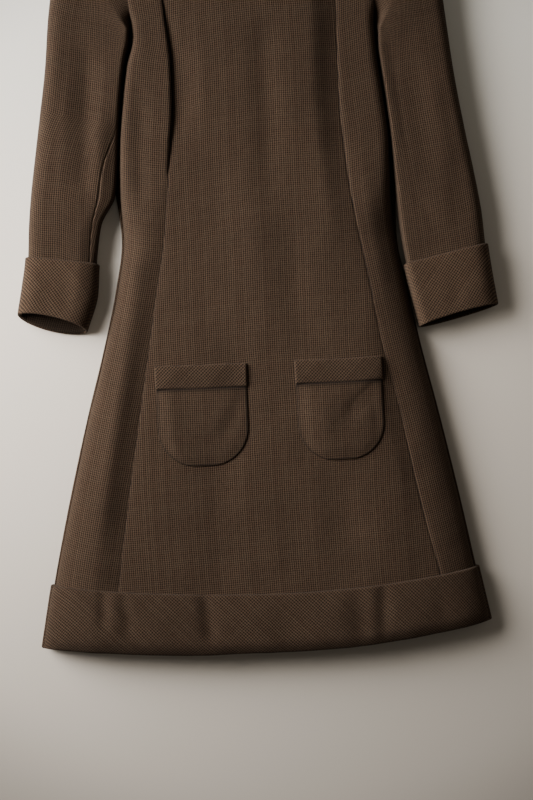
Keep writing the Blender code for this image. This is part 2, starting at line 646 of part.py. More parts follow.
def sleeve_place(side, share, turn):
    """A point of a sleeve: share runs armhole to wrist, turn once round from the outer edge."""
    ring = SLEEVES[side]
    angle = 2 * math.pi * turn
    across = math.cos(angle)
    f = (1 - across) / 2
    x = mix(ring["outer_x"](share), ring["inner_x"](share), f)
    y = mix(ring["outer_y"](share), ring["inner_y"](share), f)
    middle = mix(ring["outer_z"](share), ring["inner_z"](share), f)
    up = abs(math.sin(angle))
    at_armhole = smooth(ARMHOLE_FADE, 0.0, share)
    if at_armhole > 0:
        x = mix(x, armhole_x(side, y) + side * ARMHOLE_GAP, at_armhole)
    if turn <= 0.5:
        z = middle + (ring["top_z"](share) - middle) * up ** (2 / SLEEVE_BULGE)
        if at_armhole > 0:
            z = mix(z, max(BODY["roll_z"](y), middle + 0.002 * up), at_armhole)
        z -= fold_depth(SLEEVE_FOLDS, x, y) * up
        arc = LEFT_CUFF_ARC if side < 0 else RIGHT_CUFF_ARC
        y += arc * up * smooth(CUFF_ARC_STARTS, 1.0, share)
    else:
        low = sleeve_lift(side, x, y) + (CUFF_WALL + LAY_GAP) * smooth(*CUFF_LIFT_SHARES, share)
        past = max(abs(across) - SLEEVE_FLAT, 0.0) / (1 - SLEEVE_FLAT)
        z = low + (middle - low) * (1 - math.sqrt(1 - past * past)) + SLEEVE_ARCH * up * up
    return Vector((x, y, z))


def build_sleeve(side, suffix):
    shares = RING_SHARES + CUFF_SHARES
    order = side  # a ring runs the other way round on the other side
    grid = {}
    for i, share in enumerate(shares):
        for k in range(RING_POINTS):
            grid[i, k] = sleeve_place(side, share, k / RING_POINTS)
    cells = [(i, k) for i in range(len(shares) - 1) for k in range(RING_POINTS)]
    normals = {key: Vector() for key in grid}
    for i, k in cells:
        a, b, c, d = (grid[key] for key in corners_of(i, k, RING_POINTS))
        n = (c - a).cross(d - b).normalized()
        for key in corners_of(i, k, RING_POINTS):
            normals[key] += n
    normals = {key: n.normalized() * order for key, n in normals.items()}
    pin(normals, [(0, k) for k in range(RING_POINTS)], 0)
    inner = moved(grid, normals, -WALL)
    for name, start, stop in (
        ("top_sleeve_" + suffix, BACK_SEAM_POINT - RING_POINTS, FRONT_SEAM_POINT),
        ("under_sleeve_" + suffix, FRONT_SEAM_POINT, BACK_SEAM_POINT),
    ):
        part_outer, part_inner = {}, {}
        for i in range(len(shares)):
            for column in range(start, stop + 1):
                k = column % RING_POINTS
                nudge = Vector()
                if column in (start, stop):
                    step = 1 if column == start else -1
                    toward = grid[i, (k + step) % RING_POINTS] - grid[i, k]
                    nudge = toward.normalized() * SEAM / 2
                part_outer[i, column] = grid[i, k] + nudge
                part_inner[i, column] = inner[i, k] + nudge
        part_cells = [(i, j) for i in range(len(shares) - 1) for j in range(start, stop)]
        if order < 0:
            part_outer, part_inner = part_inner, part_outer
        wall(name, part_outer, part_inner, part_cells, WOOL)
    build_cuff(side, suffix, grid, normals, len(RING_SHARES), len(shares), order)


def build_cuff(side, suffix, grid, normals, first, count, order):
    """A doubled ring over the sleeve's end, made from the sleeve's points moved out."""
    outer, inner = {}, {}
    for i in range(first, count):
        for k in range(RING_POINTS):
            inner[i, k] = grid[i, k] + normals[i, k] * LAY_GAP
            outer[i, k] = grid[i, k] + normals[i, k] * (LAY_GAP + CUFF_WALL)
    for k in range(RING_POINTS):
        run = grid[count - 1, k] - grid[count - 2, k]
        past = run.normalized() * CUFF_PAST_END
        normal = normals[count - 1, k] * CUFF_WALL * 0.2
        inner[count, k] = inner[count - 1, k] + past + normal
        outer[count, k] = outer[count - 1, k] + past - normal
    for p in outer.values():
        p.z = max(p.z, 0.0)
    cells = [(i, k) for i in range(first, count) for k in range(RING_POINTS)]
    if order < 0:
        outer, inner = inner, outer
    wall("cuff_" + suffix, outer, inner, cells, WOOL_BIAS, wrap=RING_POINTS)


# ---- pockets ----
Pocket = namedtuple("Pocket", "suffix middle_x top_y half_width bottom_y corner tilt")
POCKETS = (
    Pocket("left", -0.0805, -0.1445, 0.0605, -0.2785, 0.050, 0.010),
    Pocket("right", 0.1030, -0.1415, 0.0575, -0.2755, 0.048, 0.022),
)
POCKET_BAND_HEIGHT = 0.030
POCKET_BAND_OVERHANG = 0.001
POCKET_COLUMNS = 8
POCKET_ROWS = 7


def lie_on(tree, x, y):
    place, normal, _, _ = tree.ray_cast(Vector((x, y, 1.0)), Vector((0, 0, -1)))
    return place, normal


def patch(name, tree, places, cells, thickness, colour):
    """A slab that lies on the panel under it."""
    inner, outer = {}, {}
    for key, (x, y) in places.items():
        place, normal = lie_on(tree, x, y)
        inner[key] = place + normal * LAY_GAP * 1.5
        outer[key] = place + normal * (LAY_GAP * 1.5 + thickness)
    return wall(name, outer, inner, cells, colour)


def build_pocket(pocket, tree):
    def turned(x, y):
        return (
            pocket.middle_x + x * math.cos(pocket.tilt) - y * math.sin(pocket.tilt),
            pocket.top_y + x * math.sin(pocket.tilt) + y * math.cos(pocket.tilt),
        )

    depth = pocket.top_y - pocket.bottom_y
    places = {}
    for i in range(POCKET_ROWS + 1):
        down = mix(POCKET_BAND_HEIGHT + SEAM * 2, depth, 1 - (1 - i / POCKET_ROWS) ** 1.4)
        into = max(down - (depth - pocket.corner), 0.0) / pocket.corner
        half = pocket.half_width - pocket.corner * (1 - math.sqrt(max(1 - into * into, 0.0)))
        for j in range(POCKET_COLUMNS + 1):
            across = math.sin((j / POCKET_COLUMNS - 0.5) * math.pi * 0.9) / math.sin(math.pi * 0.45)
            places[-i, j] = turned(across * max(half, 0.012), -down)
    cells = [(-i - 1, j) for i in range(POCKET_ROWS) for j in range(POCKET_COLUMNS)]
    patch("pocket_" + pocket.suffix, tree, places, cells, POCKET_WALL, WOOL)
    places = {}
    for i, down in enumerate((POCKET_BAND_HEIGHT, POCKET_BAND_HEIGHT / 2, 0.0)):
        for j in range(POCKET_COLUMNS + 1):
            across = 2 * j / POCKET_COLUMNS - 1
            half = pocket.half_width + POCKET_BAND_OVERHANG
            places[i, j] = turned(across * half, -down)
    cells = [(i, j) for i in range(2) for j in range(POCKET_COLUMNS)]
    patch("pocket_band_" + pocket.suffix, tree, places, cells, POCKET_BAND_WALL, WOOL_BIAS)


def build():
    panel, front_hem = build_front()
    back_hem = build_back()
    build_hem("hem_band_front", front_hem, 1)
    build_hem("hem_band_back", back_hem, -1)
    for side, suffix in ((-1, "left"), (1, "right")):
        build_sleeve(side, suffix)
    tree = BVHTree.FromPolygons(
        [v.co for v in panel.data.vertices], [p.vertices for p in panel.data.polygons]
    )
    for pocket in POCKETS:
        build_pocket(pocket, tree)


build()
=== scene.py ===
"""An a-line dress of brown wool, laid on its back: its looks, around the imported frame.

Metres. X runs across the dress, Y from hem to neck, Z up from the surface that it lies on.
"left" is the -X side as seen from above. Every panel is a thin shell on the form of the solid
that it replaces, with the finer folds, rolled seams and rounded edges that the cloth has.
"""

import functools
import math
from collections import namedtuple

import bpy
import numpy as np
from mathutils import Matrix, Vector


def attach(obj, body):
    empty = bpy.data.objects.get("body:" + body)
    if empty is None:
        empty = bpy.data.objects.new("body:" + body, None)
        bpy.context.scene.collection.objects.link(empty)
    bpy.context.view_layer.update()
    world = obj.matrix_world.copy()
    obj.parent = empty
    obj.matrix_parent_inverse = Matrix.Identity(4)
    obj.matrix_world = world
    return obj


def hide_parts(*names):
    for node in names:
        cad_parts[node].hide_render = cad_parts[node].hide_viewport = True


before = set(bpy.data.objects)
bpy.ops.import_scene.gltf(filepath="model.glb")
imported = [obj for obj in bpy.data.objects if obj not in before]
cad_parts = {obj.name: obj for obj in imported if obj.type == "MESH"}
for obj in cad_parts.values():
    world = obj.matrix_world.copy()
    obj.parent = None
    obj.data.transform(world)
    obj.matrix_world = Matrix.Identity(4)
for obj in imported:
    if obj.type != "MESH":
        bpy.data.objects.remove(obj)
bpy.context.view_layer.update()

# ---- driving dimensions, near those of the solids ----
WALL = 0.0018  # one layer of the wool
THINNEST = 0.00005  # of any wall or ledge
SEAM = 0.0001  # between two panels
ARMHOLE_GAP = 0.0005
LAY_GAP = 0.0004  # under a piece that lies on another
HEM_Y = -0.533
TOP_Y = 0.536
BAND_TOP_Y = -0.452
BAND_WALL = 0.0040
CUFF_WALL = 0.0036
POCKET_WALL = 0.0022
POCKET_BAND_WALL = 0.0042
HALF_HEM = 0.300
LEFT_HEM_RISE = 0.019
RIGHT_HEM_RISE = 0.030
HEM_ARC_ENDS_Y = -0.100
CHEST_HALF = 0.170  # between the middle and an underarm
NECK_HALF = 0.088
FRONT_NECK_DROP = 0.085
BACK_NECK_DROP = 0.020
SHOULDER_SLOPE = 0.36
SHOULDER_ROUND = 0.025
SHOULDER_Z = 0.008
BACK_SHOULDER_ROUND = 0.016
SHOULDER_END_Y = 0.505
LEFT_UNDERARM_Y = 0.318
RIGHT_UNDERARM_Y = 0.312
SCOOP_DROP = 0.022
SCOOP_FADE = 0.060
SKIRT_BOX, BODICE_BOX = 6.0, 50.0  # how square the front is across
BODICE_BOX_FADE = (0.02, 0.15)
RIM_POWER = 10  # how close to the roll lines the folds reach
SHELF_POWER = 5  # how square the shelf is that runs out from a roll line
SKIRT_DOME, CHEST_DOME = 0.5, 0.8
CHEST_DOME_FADE = (0.30, 0.40)
BAND_LIFT_FADE = (0.075, 0.022)
BACK_EDGE_STRIP = 0.014
SHELF_LEAST = 0.004
SLEEVE_CLEAR = 0.0016  # between the shelf and the sleeve on it
SHELF_STARTS_Y = (0.055, 0.095)
SLEEVE_HOLD = 0.006
SLEEVE_RAMP = 0.026
SCOOP_HOLD = (0.030, 0.055)
NECK_SHARE = 10 / 14  # how much of the centre panel's top edge is neckline
TOP_EASE = (0.25, 1.0)  # where the armhole and the panels' lines leave the roll line
# How much of the cloth's unevenness shows on each kind of piece.
BODY_WAVE, SLEEVE_WAVE, HEM_WAVE, CUFF_WAVE, POCKET_WAVE, MOUTH_WAVE = 2.2, 2.4, 1.8, 1.6, 1.2, 1.5


def rows_of(kind, *rows):
    """A table's rows, each with its columns named."""
    return tuple(kind(*row) for row in rows)


Section = namedtuple(
    "Section",
    "y left_edge left_roll left_seam right_seam right_roll right_edge crown roll_z side_z",
)
SECTIONS = rows_of(
    Section,
    (-0.545, -0.3095, -0.3060, -0.211, 0.258, 0.3045, 0.3080, 0.040, 0.0150, 0.0095),
    (-0.430, -0.2885, -0.2850, -0.198, 0.231, 0.2805, 0.2840, 0.044, 0.0150, 0.0095),
    (-0.320, -0.2645, -0.2610, -0.182, 0.205, 0.2585, 0.2620, 0.045, 0.0145, 0.0090),
    (-0.210, -0.2375, -0.2340, -0.164, 0.184, 0.2345, 0.2380, 0.044, 0.0140, 0.0090),
    (-0.120, -0.2130, -0.2095, -0.149, 0.163, 0.2135, 0.2170, 0.043, 0.0140, 0.0090),
    (-0.040, -0.1940, -0.1905, -0.136, 0.149, 0.1975, 0.2010, 0.042, 0.0135, 0.0085),
    (0.030, -0.1835, -0.1800, -0.124, 0.136, 0.1855, 0.1890, 0.041, 0.0130, 0.0080),
    (0.090, -0.1900, -0.1835, -0.118, 0.126, 0.1825, 0.1890, 0.040, 0.0110, 0.0060),
    (0.150, -0.1950, -0.1820, -0.1125, 0.1195, 0.1825, 0.1955, 0.041, 0.0090, 0.0045),
    (0.210, -0.2010, -0.1770, -0.108, 0.115, 0.1770, 0.2060, 0.042, 0.0085, 0.0042),
    (0.260, -0.2060, -0.1700, -0.1085, 0.1145, 0.1705, 0.2150, 0.042, 0.0085, 0.0042),
    (0.300, -0.2110, -0.1605, -0.112, 0.115, 0.1675, 0.2200, 0.041, 0.0085, 0.0042),
    (0.318, -0.2120, -0.1605, -0.114, 0.115, 0.1665, 0.2210, 0.041, 0.0180, 0.0045),
    (0.334, -0.2130, -0.1622, -0.1155, 0.115, 0.1670, 0.2215, 0.0405, 0.0340, 0.0048),
    (0.350, -0.2140, -0.1640, -0.117, 0.115, 0.1680, 0.2220, 0.040, 0.0368, 0.0050),
    (0.400, -0.2160, -0.1680, -0.121, 0.119, 0.1710, 0.2220, 0.038, 0.0360, 0.0060),
    (0.450, -0.2180, -0.1740, -0.126, 0.125, 0.1765, 0.2220, 0.036, 0.0310, 0.0070),
    (0.482, -0.2190, -0.1800, -0.129, 0.129, 0.1820, 0.2220, 0.033, 0.0200, 0.0080),
    (0.510, -0.2200, -0.1860, -0.132, 0.132, 0.1880, 0.2220, 0.030, 0.0090, 0.0080),
    (0.545, -0.2200, -0.1950, -0.136, 0.136, 0.1970, 0.2220, 0.027, 0.0085, 0.0080),
)

Ring = namedtuple("Ring", "outer_x outer_y inner_x inner_y top_z outer_z inner_z")
LEFT_RINGS = rows_of(
    Ring,
    (-0.1850, 0.5060, -0.1630, 0.3190, 0.034, 0.0080, 0.0135),
    (-0.2220, 0.4850, -0.1632, 0.3110, 0.038, 0.0095, 0.0155),
    (-0.2500, 0.4420, -0.1640, 0.3050, 0.040, 0.0110, 0.0180),
    (-0.2650, 0.3880, -0.1650, 0.2920, 0.039, 0.0110, 0.0180),
    (-0.2740, 0.3300, -0.1705, 0.2690, 0.040, 0.0110, 0.0180),
    (-0.2800, 0.2640, -0.1765, 0.2290, 0.040, 0.0110, 0.0180),
    (-0.2885, 0.2040, -0.1815, 0.1800, 0.039, 0.0110, 0.0180),
    (-0.2970, 0.1460, -0.1852, 0.1280, 0.038, 0.0110, 0.0170),
    (-0.3050, 0.0880, -0.1900, 0.0880, 0.037, 0.0110, 0.0160),
    (-0.3085, 0.0500, -0.2100, 0.0500, 0.036, 0.0110, 0.0140),
    (-0.3108, 0.0080, -0.2182, -0.0040, 0.034, 0.0120, 0.0130),
    (-0.3165, -0.0300, -0.2212, -0.0420, 0.033, 0.0120, 0.0130),
    (-0.3238, -0.0680, -0.2368, -0.0900, 0.031, 0.0120, 0.0120),
)
RIGHT_RINGS = rows_of(
    Ring,
    (0.1870, 0.5050, 0.1700, 0.3130, 0.034, 0.0080, 0.0135),
    (0.2220, 0.4830, 0.1708, 0.3030, 0.038, 0.0095, 0.0155),
    (0.2460, 0.4350, 0.1706, 0.2930, 0.041, 0.0105, 0.0175),
    (0.2570, 0.3780, 0.1702, 0.2780, 0.041, 0.0110, 0.0180),
    (0.2640, 0.3180, 0.1730, 0.2500, 0.040, 0.0110, 0.0180),
    (0.2730, 0.2420, 0.1778, 0.2120, 0.040, 0.0110, 0.0180),
    (0.2850, 0.1680, 0.1840, 0.1520, 0.039, 0.0110, 0.0180),
    (0.2965, 0.1060, 0.1878, 0.1000, 0.038, 0.0110, 0.0170),
    (0.3050, 0.0520, 0.1918, 0.0460, 0.037, 0.0110, 0.0160),
    (0.3090, 0.0050, 0.2015, -0.0200, 0.035, 0.0110, 0.0140),
    (0.3140, -0.0350, 0.2095, -0.0560, 0.033, 0.0120, 0.0130),
    (0.3200, -0.0720, 0.2190, -0.0980, 0.031, 0.0120, 0.0120),
)
CUFF_STARTS = 0.835  # share of the sleeve's length at the cuff's upper edge
CUFF_LIFT_SHARES = (0.74, 0.82)
CUFF_ARC_STARTS = 0.86
ARMHOLE_FADE = 0.10
# How far a cuff's edge bows up in front and down behind.
CUFF_ARCS = {-1: (0.009, 0.011), 1: (0.004, 0.003)}
SLOPE_OUT = (0.45, 1.1)  # how far out the left sleeve's inner slope begins and is full
SEWN_RISE = 0.002  # the least that a sleeve's top rises at the armhole
SEWN_STILL = 0.8  # how far the armhole's seam stills the sleeve's folds
SLEEVE_FLAT = 0.68  # of the underside's width, on the table
SLEEVE_ARCH = 0.0006
HIDDEN_SEAM = 0.988  # how far out from the sleeve's middle line the inner seam lies
BACK_SEAM_TURN = 20 / 22  # where the outer seam lies, round a ring
SEAM_HALF_GAP = 0.0006  # of a cuff at the outer seam, as a share of a turn

# A trough from one end to the other. A ridge has a depth below 0.
Fold = namedtuple("Fold", "x_from y_from x_to y_to half_width depth")
FOLD_SETS_IN = (-0.3, 0.25)
BODY_FOLDS = rows_of(
    Fold,
    (-0.150, 0.230, -0.155, 0.080, 0.012, 0.0030),  # down the left side panel
    (-0.190, -0.150, -0.255, -0.440, 0.016, -0.0010),
    (0.016, 0.290, 0.020, 0.100, 0.020, 0.0030),
    (0.045, 0.080, 0.050, -0.120, 0.022, 0.0018),
    (0.165, -0.110, 0.215, -0.400, 0.018, 0.0026),
    (-0.010, 0.090, 0.000, -0.140, 0.026, -0.0016),
    (-0.055, -0.250, -0.070, -0.430, 0.028, 0.0022),
    (0.100, -0.290, 0.110, -0.430, 0.030, 0.0020),
)
SLEEVE_FOLDS = rows_of(
    Fold,
    (-0.219, 0.270, -0.226, 0.100, 0.016, 0.0046),  # the drag line down the left sleeve
    (-0.262, 0.330, -0.280, 0.120, 0.016, -0.0020),
    (-0.205, 0.190, -0.215, 0.110, 0.016, -0.0025),
    (0.182, 0.290, 0.204, 0.140, 0.008, 0.0016),  # beside the right sleeve's ridge
    (0.205, 0.250, 0.232, 0.110, 0.020, 0.0022),
    (0.262, 0.210, 0.285, 0.050, 0.018, 0.0022),
)
# The finer folds, which the solids leave out.
FINE_BODY_FOLDS = rows_of(
    Fold,
    (-0.098, 0.330, -0.100, 0.180, 0.006, -0.0010),
    (-0.190, -0.120, -0.236, -0.330, 0.006, 0.0010),
    (-0.145, 0.300, -0.150, 0.120, 0.010, -0.0008),
    (0.142, 0.130, 0.168, -0.050, 0.010, -0.0018),
    (0.150, -0.150, 0.190, -0.330, 0.008, -0.0008),
    (-0.030, -0.130, -0.040, -0.300, 0.016, 0.0008),
    (0.060, -0.250, 0.030, -0.420, 0.018, 0.0009),
)
FINE_SLEEVE_FOLDS = rows_of(
    Fold,
    (-0.250, 0.230, -0.262, 0.090, 0.007, -0.0009),
    (-0.216, 0.085, -0.236, 0.055, 0.008, 0.0012),
    (0.238, 0.250, 0.262, 0.110, 0.008, -0.0009),
    (0.215, 0.080, 0.240, 0.030, 0.008, 0.0010),
)

# ---- how finely the shells are made ----
FRONT_STEP = 0.0040
BACK_STEP = 0.0060


# ---- curves through the tables ----
def smooth(low, high, value):
    f = np.clip((value - low) / (high - low), 0.0, 1.0)
    return f * f * (3 - 2 * f)


def mix(a, b, f):
    return a + (b - a) * f


def rounded(distance, radius):
    """The height of a quarter-round edge this far in from where it ends, as a share."""
    return np.sqrt(1 - (1 - np.clip(distance / radius, 0.0, 1.0)) ** 2)


def through(places, values):
    """A smooth function of place that passes through every value and never overshoots."""
    places, values = np.array(places), np.array(values)
    steps = np.diff(values) / np.diff(places)
    a, b = steps[:-1], steps[1:]
    middle = np.where(a * b > 0, 2 * a * b / np.where(a * b > 0, a + b, 1.0), 0.0)
    slope = np.concatenate([steps[:1], middle, steps[-1:]])

    def value(place):
        place = np.clip(place, places[0], places[-1])
        k = np.clip(np.searchsorted(places, place, side="right") - 1, 0, len(places) - 2)
        span = places[k + 1] - places[k]
        f = (place - places[k]) / span
        g = 1 - f
        return (
            values[k] * (1 + 2 * f) * g * g
            + values[k + 1] * (3 - 2 * f) * f * f
            + span * (slope[k] * f * g * g - slope[k + 1] * f * f * g)
        )

    return value


# How square a sleeve is across its top, from armhole to wrist.
BOX_SHARES = (0.0, 0.78, 0.86, 1.0)
INNER_BOXES = {
    -1: through(BOX_SHARES, (60.0, 50.0, 14.0, 8.0)),
    1: through(BOX_SHARES, (60.0, 50.0, 40.0, 26.0)),
}
OUTER_BOX = through((0.0, 0.80, 1.0), (9.0, 8.0, 5.0))
# Where the left sleeve's inner seam comes up on its slope, and the share of its height it loses.
LEFT_SEAM_OUT = through((0.46, 0.60, 0.67, 0.74, 0.84, 1.0), (0.988, 0.66, 0.64, 0.78, 0.82, 0.84))
LEFT_SLOPE = through((0.38, 0.58, 0.84, 1.0), (0.0, 0.34, 0.30, 0.16))


def curves(table, places):
    return {n: through(places, [getattr(row, n) for row in table]) for n in table[0]._fields}


BODY = curves(SECTIONS, [row.y for row in SECTIONS])


def along(rings):
    """A sleeve's columns as functions of the share of its length, and that length.

    The length is measured down the sleeve's middle.
    """
    middle = np.array([((r.outer_x + r.inner_x) / 2, (r.outer_y + r.inner_y) / 2) for r in rings])
    steps = np.linalg.norm(np.diff(middle, axis=0), axis=1)
    runs = np.concatenate([[0.0], np.cumsum(steps)])
    return curves(rings, runs / runs[-1]), float(steps.sum())


SLEEVES = {-1: along(LEFT_RINGS), 1: along(RIGHT_RINGS)}


def fold_depth(folds, x, y):
    """How far the folds press the cloth in at each place."""
    depth = np.zeros(np.broadcast(x, y).shape)
    for fold in folds:
        run_x, run_y = fold.x_to - fold.x_from, fold.y_to - fold.y_from
        length = math.hypot(run_x, run_y)
        away_x, away_y = x - fold.x_from, y - fold.y_from
        share = (away_x * run_x + away_y * run_y) / length**2
        off = (away_x * run_y - away_y * run_x) / length
        ends = smooth(*FOLD_SETS_IN, share) * smooth(*FOLD_SETS_IN, 1 - share)
        depth += fold.depth * ends * np.exp(-((off / fold.half_width) ** 2))
    return depth


# Slow, faint waves: each has a direction, a wavelength and an amplitude.
Wave = namedtuple("Wave", "along_x along_y phase height")
WAVES = rows_of(
    Wave,
    (31, 7, 0.4, 0.00016),
    (-17, 23, 1.9, 0.00014),
    (52, -21, 4.1, 0.00010),
    (11, 58, 2.7, 0.00009),
    (95, 33, 0.9, 0.00006),
    (-61, 88, 5.2, 0.00005),
    (140, -52, 3.3, 0.00003),
    (38, 151, 1.2, 0.00003),
)
WAVE_BEND = 0.7  # radians by which a wave strays from straight


def unevenness(x, y):
    """The slight waviness of steamed wool that lies on a table."""
    total = np.zeros(np.broadcast(x, y).shape)
    for w in WAVES:
        bend = WAVE_BEND * np.sin(9 * x - 7 * y + w.phase)
        total += w.height * np.sin(w.along_x * x + w.along_y * y + w.phase + bend)
    return total


# ---- the body's form ----
def side_of(name, side):
    return BODY[("left_" if side < 0 else "right_") + name]


def underarm_of(side):
    return LEFT_UNDERARM_Y if side < 0 else RIGHT_UNDERARM_Y


def shoulder_y(x):
    return TOP_Y - SHOULDER_SLOPE * np.maximum(np.abs(x) - NECK_HALF, 0.0)


# At a princess seam the panel on its right stands above the one on its left, which dips towards
# the seam: by how much, and from how far away. Above the waist the left side panel stands above
# the centre one instead.
LEDGE_YS = (-0.470, -0.430, -0.330, -0.220, -0.100, -0.020, 0.040, 0.100, 0.180, 0.265, 0.400)
LEFT_LEDGE = through(LEDGE_YS, (0.002, 0.0070, 0.0105, 0.0110, 0.0100, 0.0080, 0.0034, 0, 0, 0, 0))
CHEST_YS = (0.080, 0.110, 0.150, 0.190, 0.265, 0.306, 0.350)
CHEST_LEDGE = through(CHEST_YS, (0, 0, 0.0024, 0.0056, 0.0060, 0.0040, 0.0010))
CHEST_LEDGE_REACH = 0.045
RIGHT_LEDGE = through(LEDGE_YS, (0, 0, 0, 0, 0, 0.0010, 0.0032, 0.0058, 0.0084, 0.0100, 0.0066))
LEFT_LEDGE_REACH, RIGHT_LEDGE_REACH = 0.036, 0.038
LEDGES = (
    ("left_seam", LEFT_LEDGE, LEFT_LEDGE_REACH),
    ("right_seam", RIGHT_LEDGE, RIGHT_LEDGE_REACH),
)


def ledge_dip(x, y):
    """How far the left-hand panels dip towards the princess seams."""
    dip = 0.0
    for seam, depth, reach in LEDGES:
        away = BODY[seam](y) - x
        dip = dip + np.where(away > 0, depth(y) * (1 - smooth(0.0, reach, away)), 0.0)
    past = x - BODY["left_seam"](y)
    chest = CHEST_LEDGE(y) * (1 - smooth(0.0, CHEST_LEDGE_REACH, past))
    return dip + np.where(past > 0, chest, 0.0)


def band_lift(y):
    starts, ends = BAND_LIFT_FADE
    return (BAND_WALL + LAY_GAP) * smooth(BAND_TOP_Y + starts, BAND_TOP_Y + ends, y)


def hem_rise(x):
    rise = np.where(x < 0, LEFT_HEM_RISE, RIGHT_HEM_RISE)
    return rise * (x / HALF_HEM) ** 2


# How far the hem itself is drawn up besides, and how it rolls down towards the surface.
DRAWN_XS = (-0.31, -0.22, -0.10, 0.0, 0.12, 0.22, 0.31)
HEM_DRAWN = through(DRAWN_XS, (-0.0035, -0.0005, 0.001, 0.004, 0.004, 0.006, 0.007))
HEM_ROLL, HEM_FALLS = 0.016, 0.20  # within how far of the edge, and by what share of its height


def hem_drawn(x, plain):
    return HEM_DRAWN(x) * np.clip((BAND_TOP_Y - plain) / (BAND_TOP_Y - HEM_Y), 0.0, 1.0)


def front_height(x, y):
    """The outer height of the front, between its two roll lines."""
    left, right = BODY["left_roll"](y), BODY["right_roll"](y)
    t = np.minimum(np.abs(2 * x - left - right) / (right - left), 1.0)
    low, crown = BODY["roll_z"](y), BODY["crown"](y)
    power = mix(SKIRT_DOME, CHEST_DOME, smooth(*CHEST_DOME_FADE, y))
    box = mix(SKIRT_BOX, BODICE_BOX, smooth(*BODICE_BOX_FADE, y))
    z = low + (crown - low) * (1 - t**box) ** power
    rim = 1 - t**RIM_POWER
    z = z - fold_depth(BODY_FOLDS, x, y) * rim
    z = z - fold_depth(FINE_BODY_FOLDS, x, y) * rim + unevenness(x, y) * rim * BODY_WAVE
    above = y - hem_rise(x) - HEM_Y - HEM_DRAWN(x)
    z = z - (z - BODY["side_z"](y)) * HEM_FALLS * np.clip(1 - above / HEM_ROLL, 0.0, 1.0) ** 2
    below = np.maximum(shoulder_y(x) - y, 0.0)
    shoulder = mix(SHOULDER_Z, np.maximum(z, SHOULDER_Z), rounded(below, SHOULDER_ROUND))
    return np.where(below < SHOULDER_ROUND, shoulder, z)


def shelf_height(y, share):
    """The height of the shelf that runs from a roll line out to the body's edge."""
    low, high = BODY["side_z"](y), BODY["roll_z"](y)
    return low + (high - low) * math.sqrt(max(1 - share**SHELF_POWER, 0.0))


def underarm_y(x):
    """The height at which the rows turn from the lower part to the upper."""
    return mix(LEFT_UNDERARM_Y, RIGHT_UNDERARM_Y, smooth(-CHEST_HALF, CHEST_HALF, x))


def shoulder_end_x(side):
    """Where the shoulder seam meets the armhole."""
    roll = side_of("roll", side)
    return float(roll(shoulder_y(roll(SHOULDER_END_Y))))


ROWS_CROWD = 1.25  # rows lie closer together near the shoulder


class Rows:
    """Cross rows of a panel, each a share of the way from hem to underarm or on to the top."""

    def __init__(self, step):
        below = round((LEFT_UNDERARM_Y - HEM_Y) / step)
        above = round((TOP_Y - LEFT_UNDERARM_Y) / step)
        self.low = np.linspace(0.0, 1.0, below + 1)
        high = np.linspace(0.0, 1.0, above + 1)[1:]
        self.high = 1 - (1 - high) ** ROWS_CROWD


FINE_ROWS = Rows(FRONT_STEP)
COARSE_ROWS = Rows(BACK_STEP)


def raised(line, plain, fade=1.0):
    """Points of a lengthwise line whose heights are these before the hem's rise is added."""
    y = plain
    for _ in range(3):
        y = plain + hem_rise(line(y)) * fade + hem_drawn(line(y), plain)
    return line(y), y


def low_places(rows, line, base):
    """Points of a lengthwise line from the hem to the underarm."""
    plain = mix(HEM_Y, base, rows.low)
    return raised(line, plain, smooth(HEM_ARC_ENDS_Y, BAND_TOP_Y, plain))


def high_places(rows, line, top_x, top_y, base):
    """The same from the underarm to the neck or shoulder."""
    y = mix(base, top_y, rows.high)
    return mix(line(y), top_x, smooth(*TOP_EASE, rows.high)), y


def both_places(rows, line, top_x, top_y, base):
    low_x, low_y = low_places(rows, line, base)
    high_x, high_y = high_places(rows, line, top_x, top_y, base)
    return np.concatenate([low_x, high_x]), np.concatenate([low_y, high_y])


def armhole_x(side, y):
    """The armhole's line from underarm to shoulder, as a function of y."""
    share = np.linspace(0, 1, 200)
    top_x = shoulder_end_x(side)
    roll = side_of("roll", side)
    at_y = mix(underarm_of(side), float(shoulder_y(top_x)), share)
    at_x = mix(roll(at_y), top_x, smooth(*TOP_EASE, share))
    return np.interp(y, at_y, at_x)


def neck_place(share, drop):
    """A point of the centre panel's top edge: shoulder, neck curve, shoulder."""
    across = 2 * share - 1
    if abs(across) <= NECK_SHARE:
        angle = across / NECK_SHARE * math.pi / 2
        return NECK_HALF * math.sin(angle), TOP_Y - drop * math.cos(angle)
    beyond = (abs(across) - NECK_SHARE) / (1 - NECK_SHARE)
    end = float(BODY["right_seam"](TOP_Y))
    x = math.copysign(mix(NECK_HALF, end, beyond), across)
    return x, float(shoulder_y(x))


# ---- shells ----
def normals_of(grid):
    """Normals of a grid of points, rows by columns: across the columns, then down the rows."""
    n = np.cross(np.gradient(grid, axis=1), np.gradient(grid, axis=0))
    return n / np.maximum(np.linalg.norm(n, axis=2, keepdims=True), 1e-12)


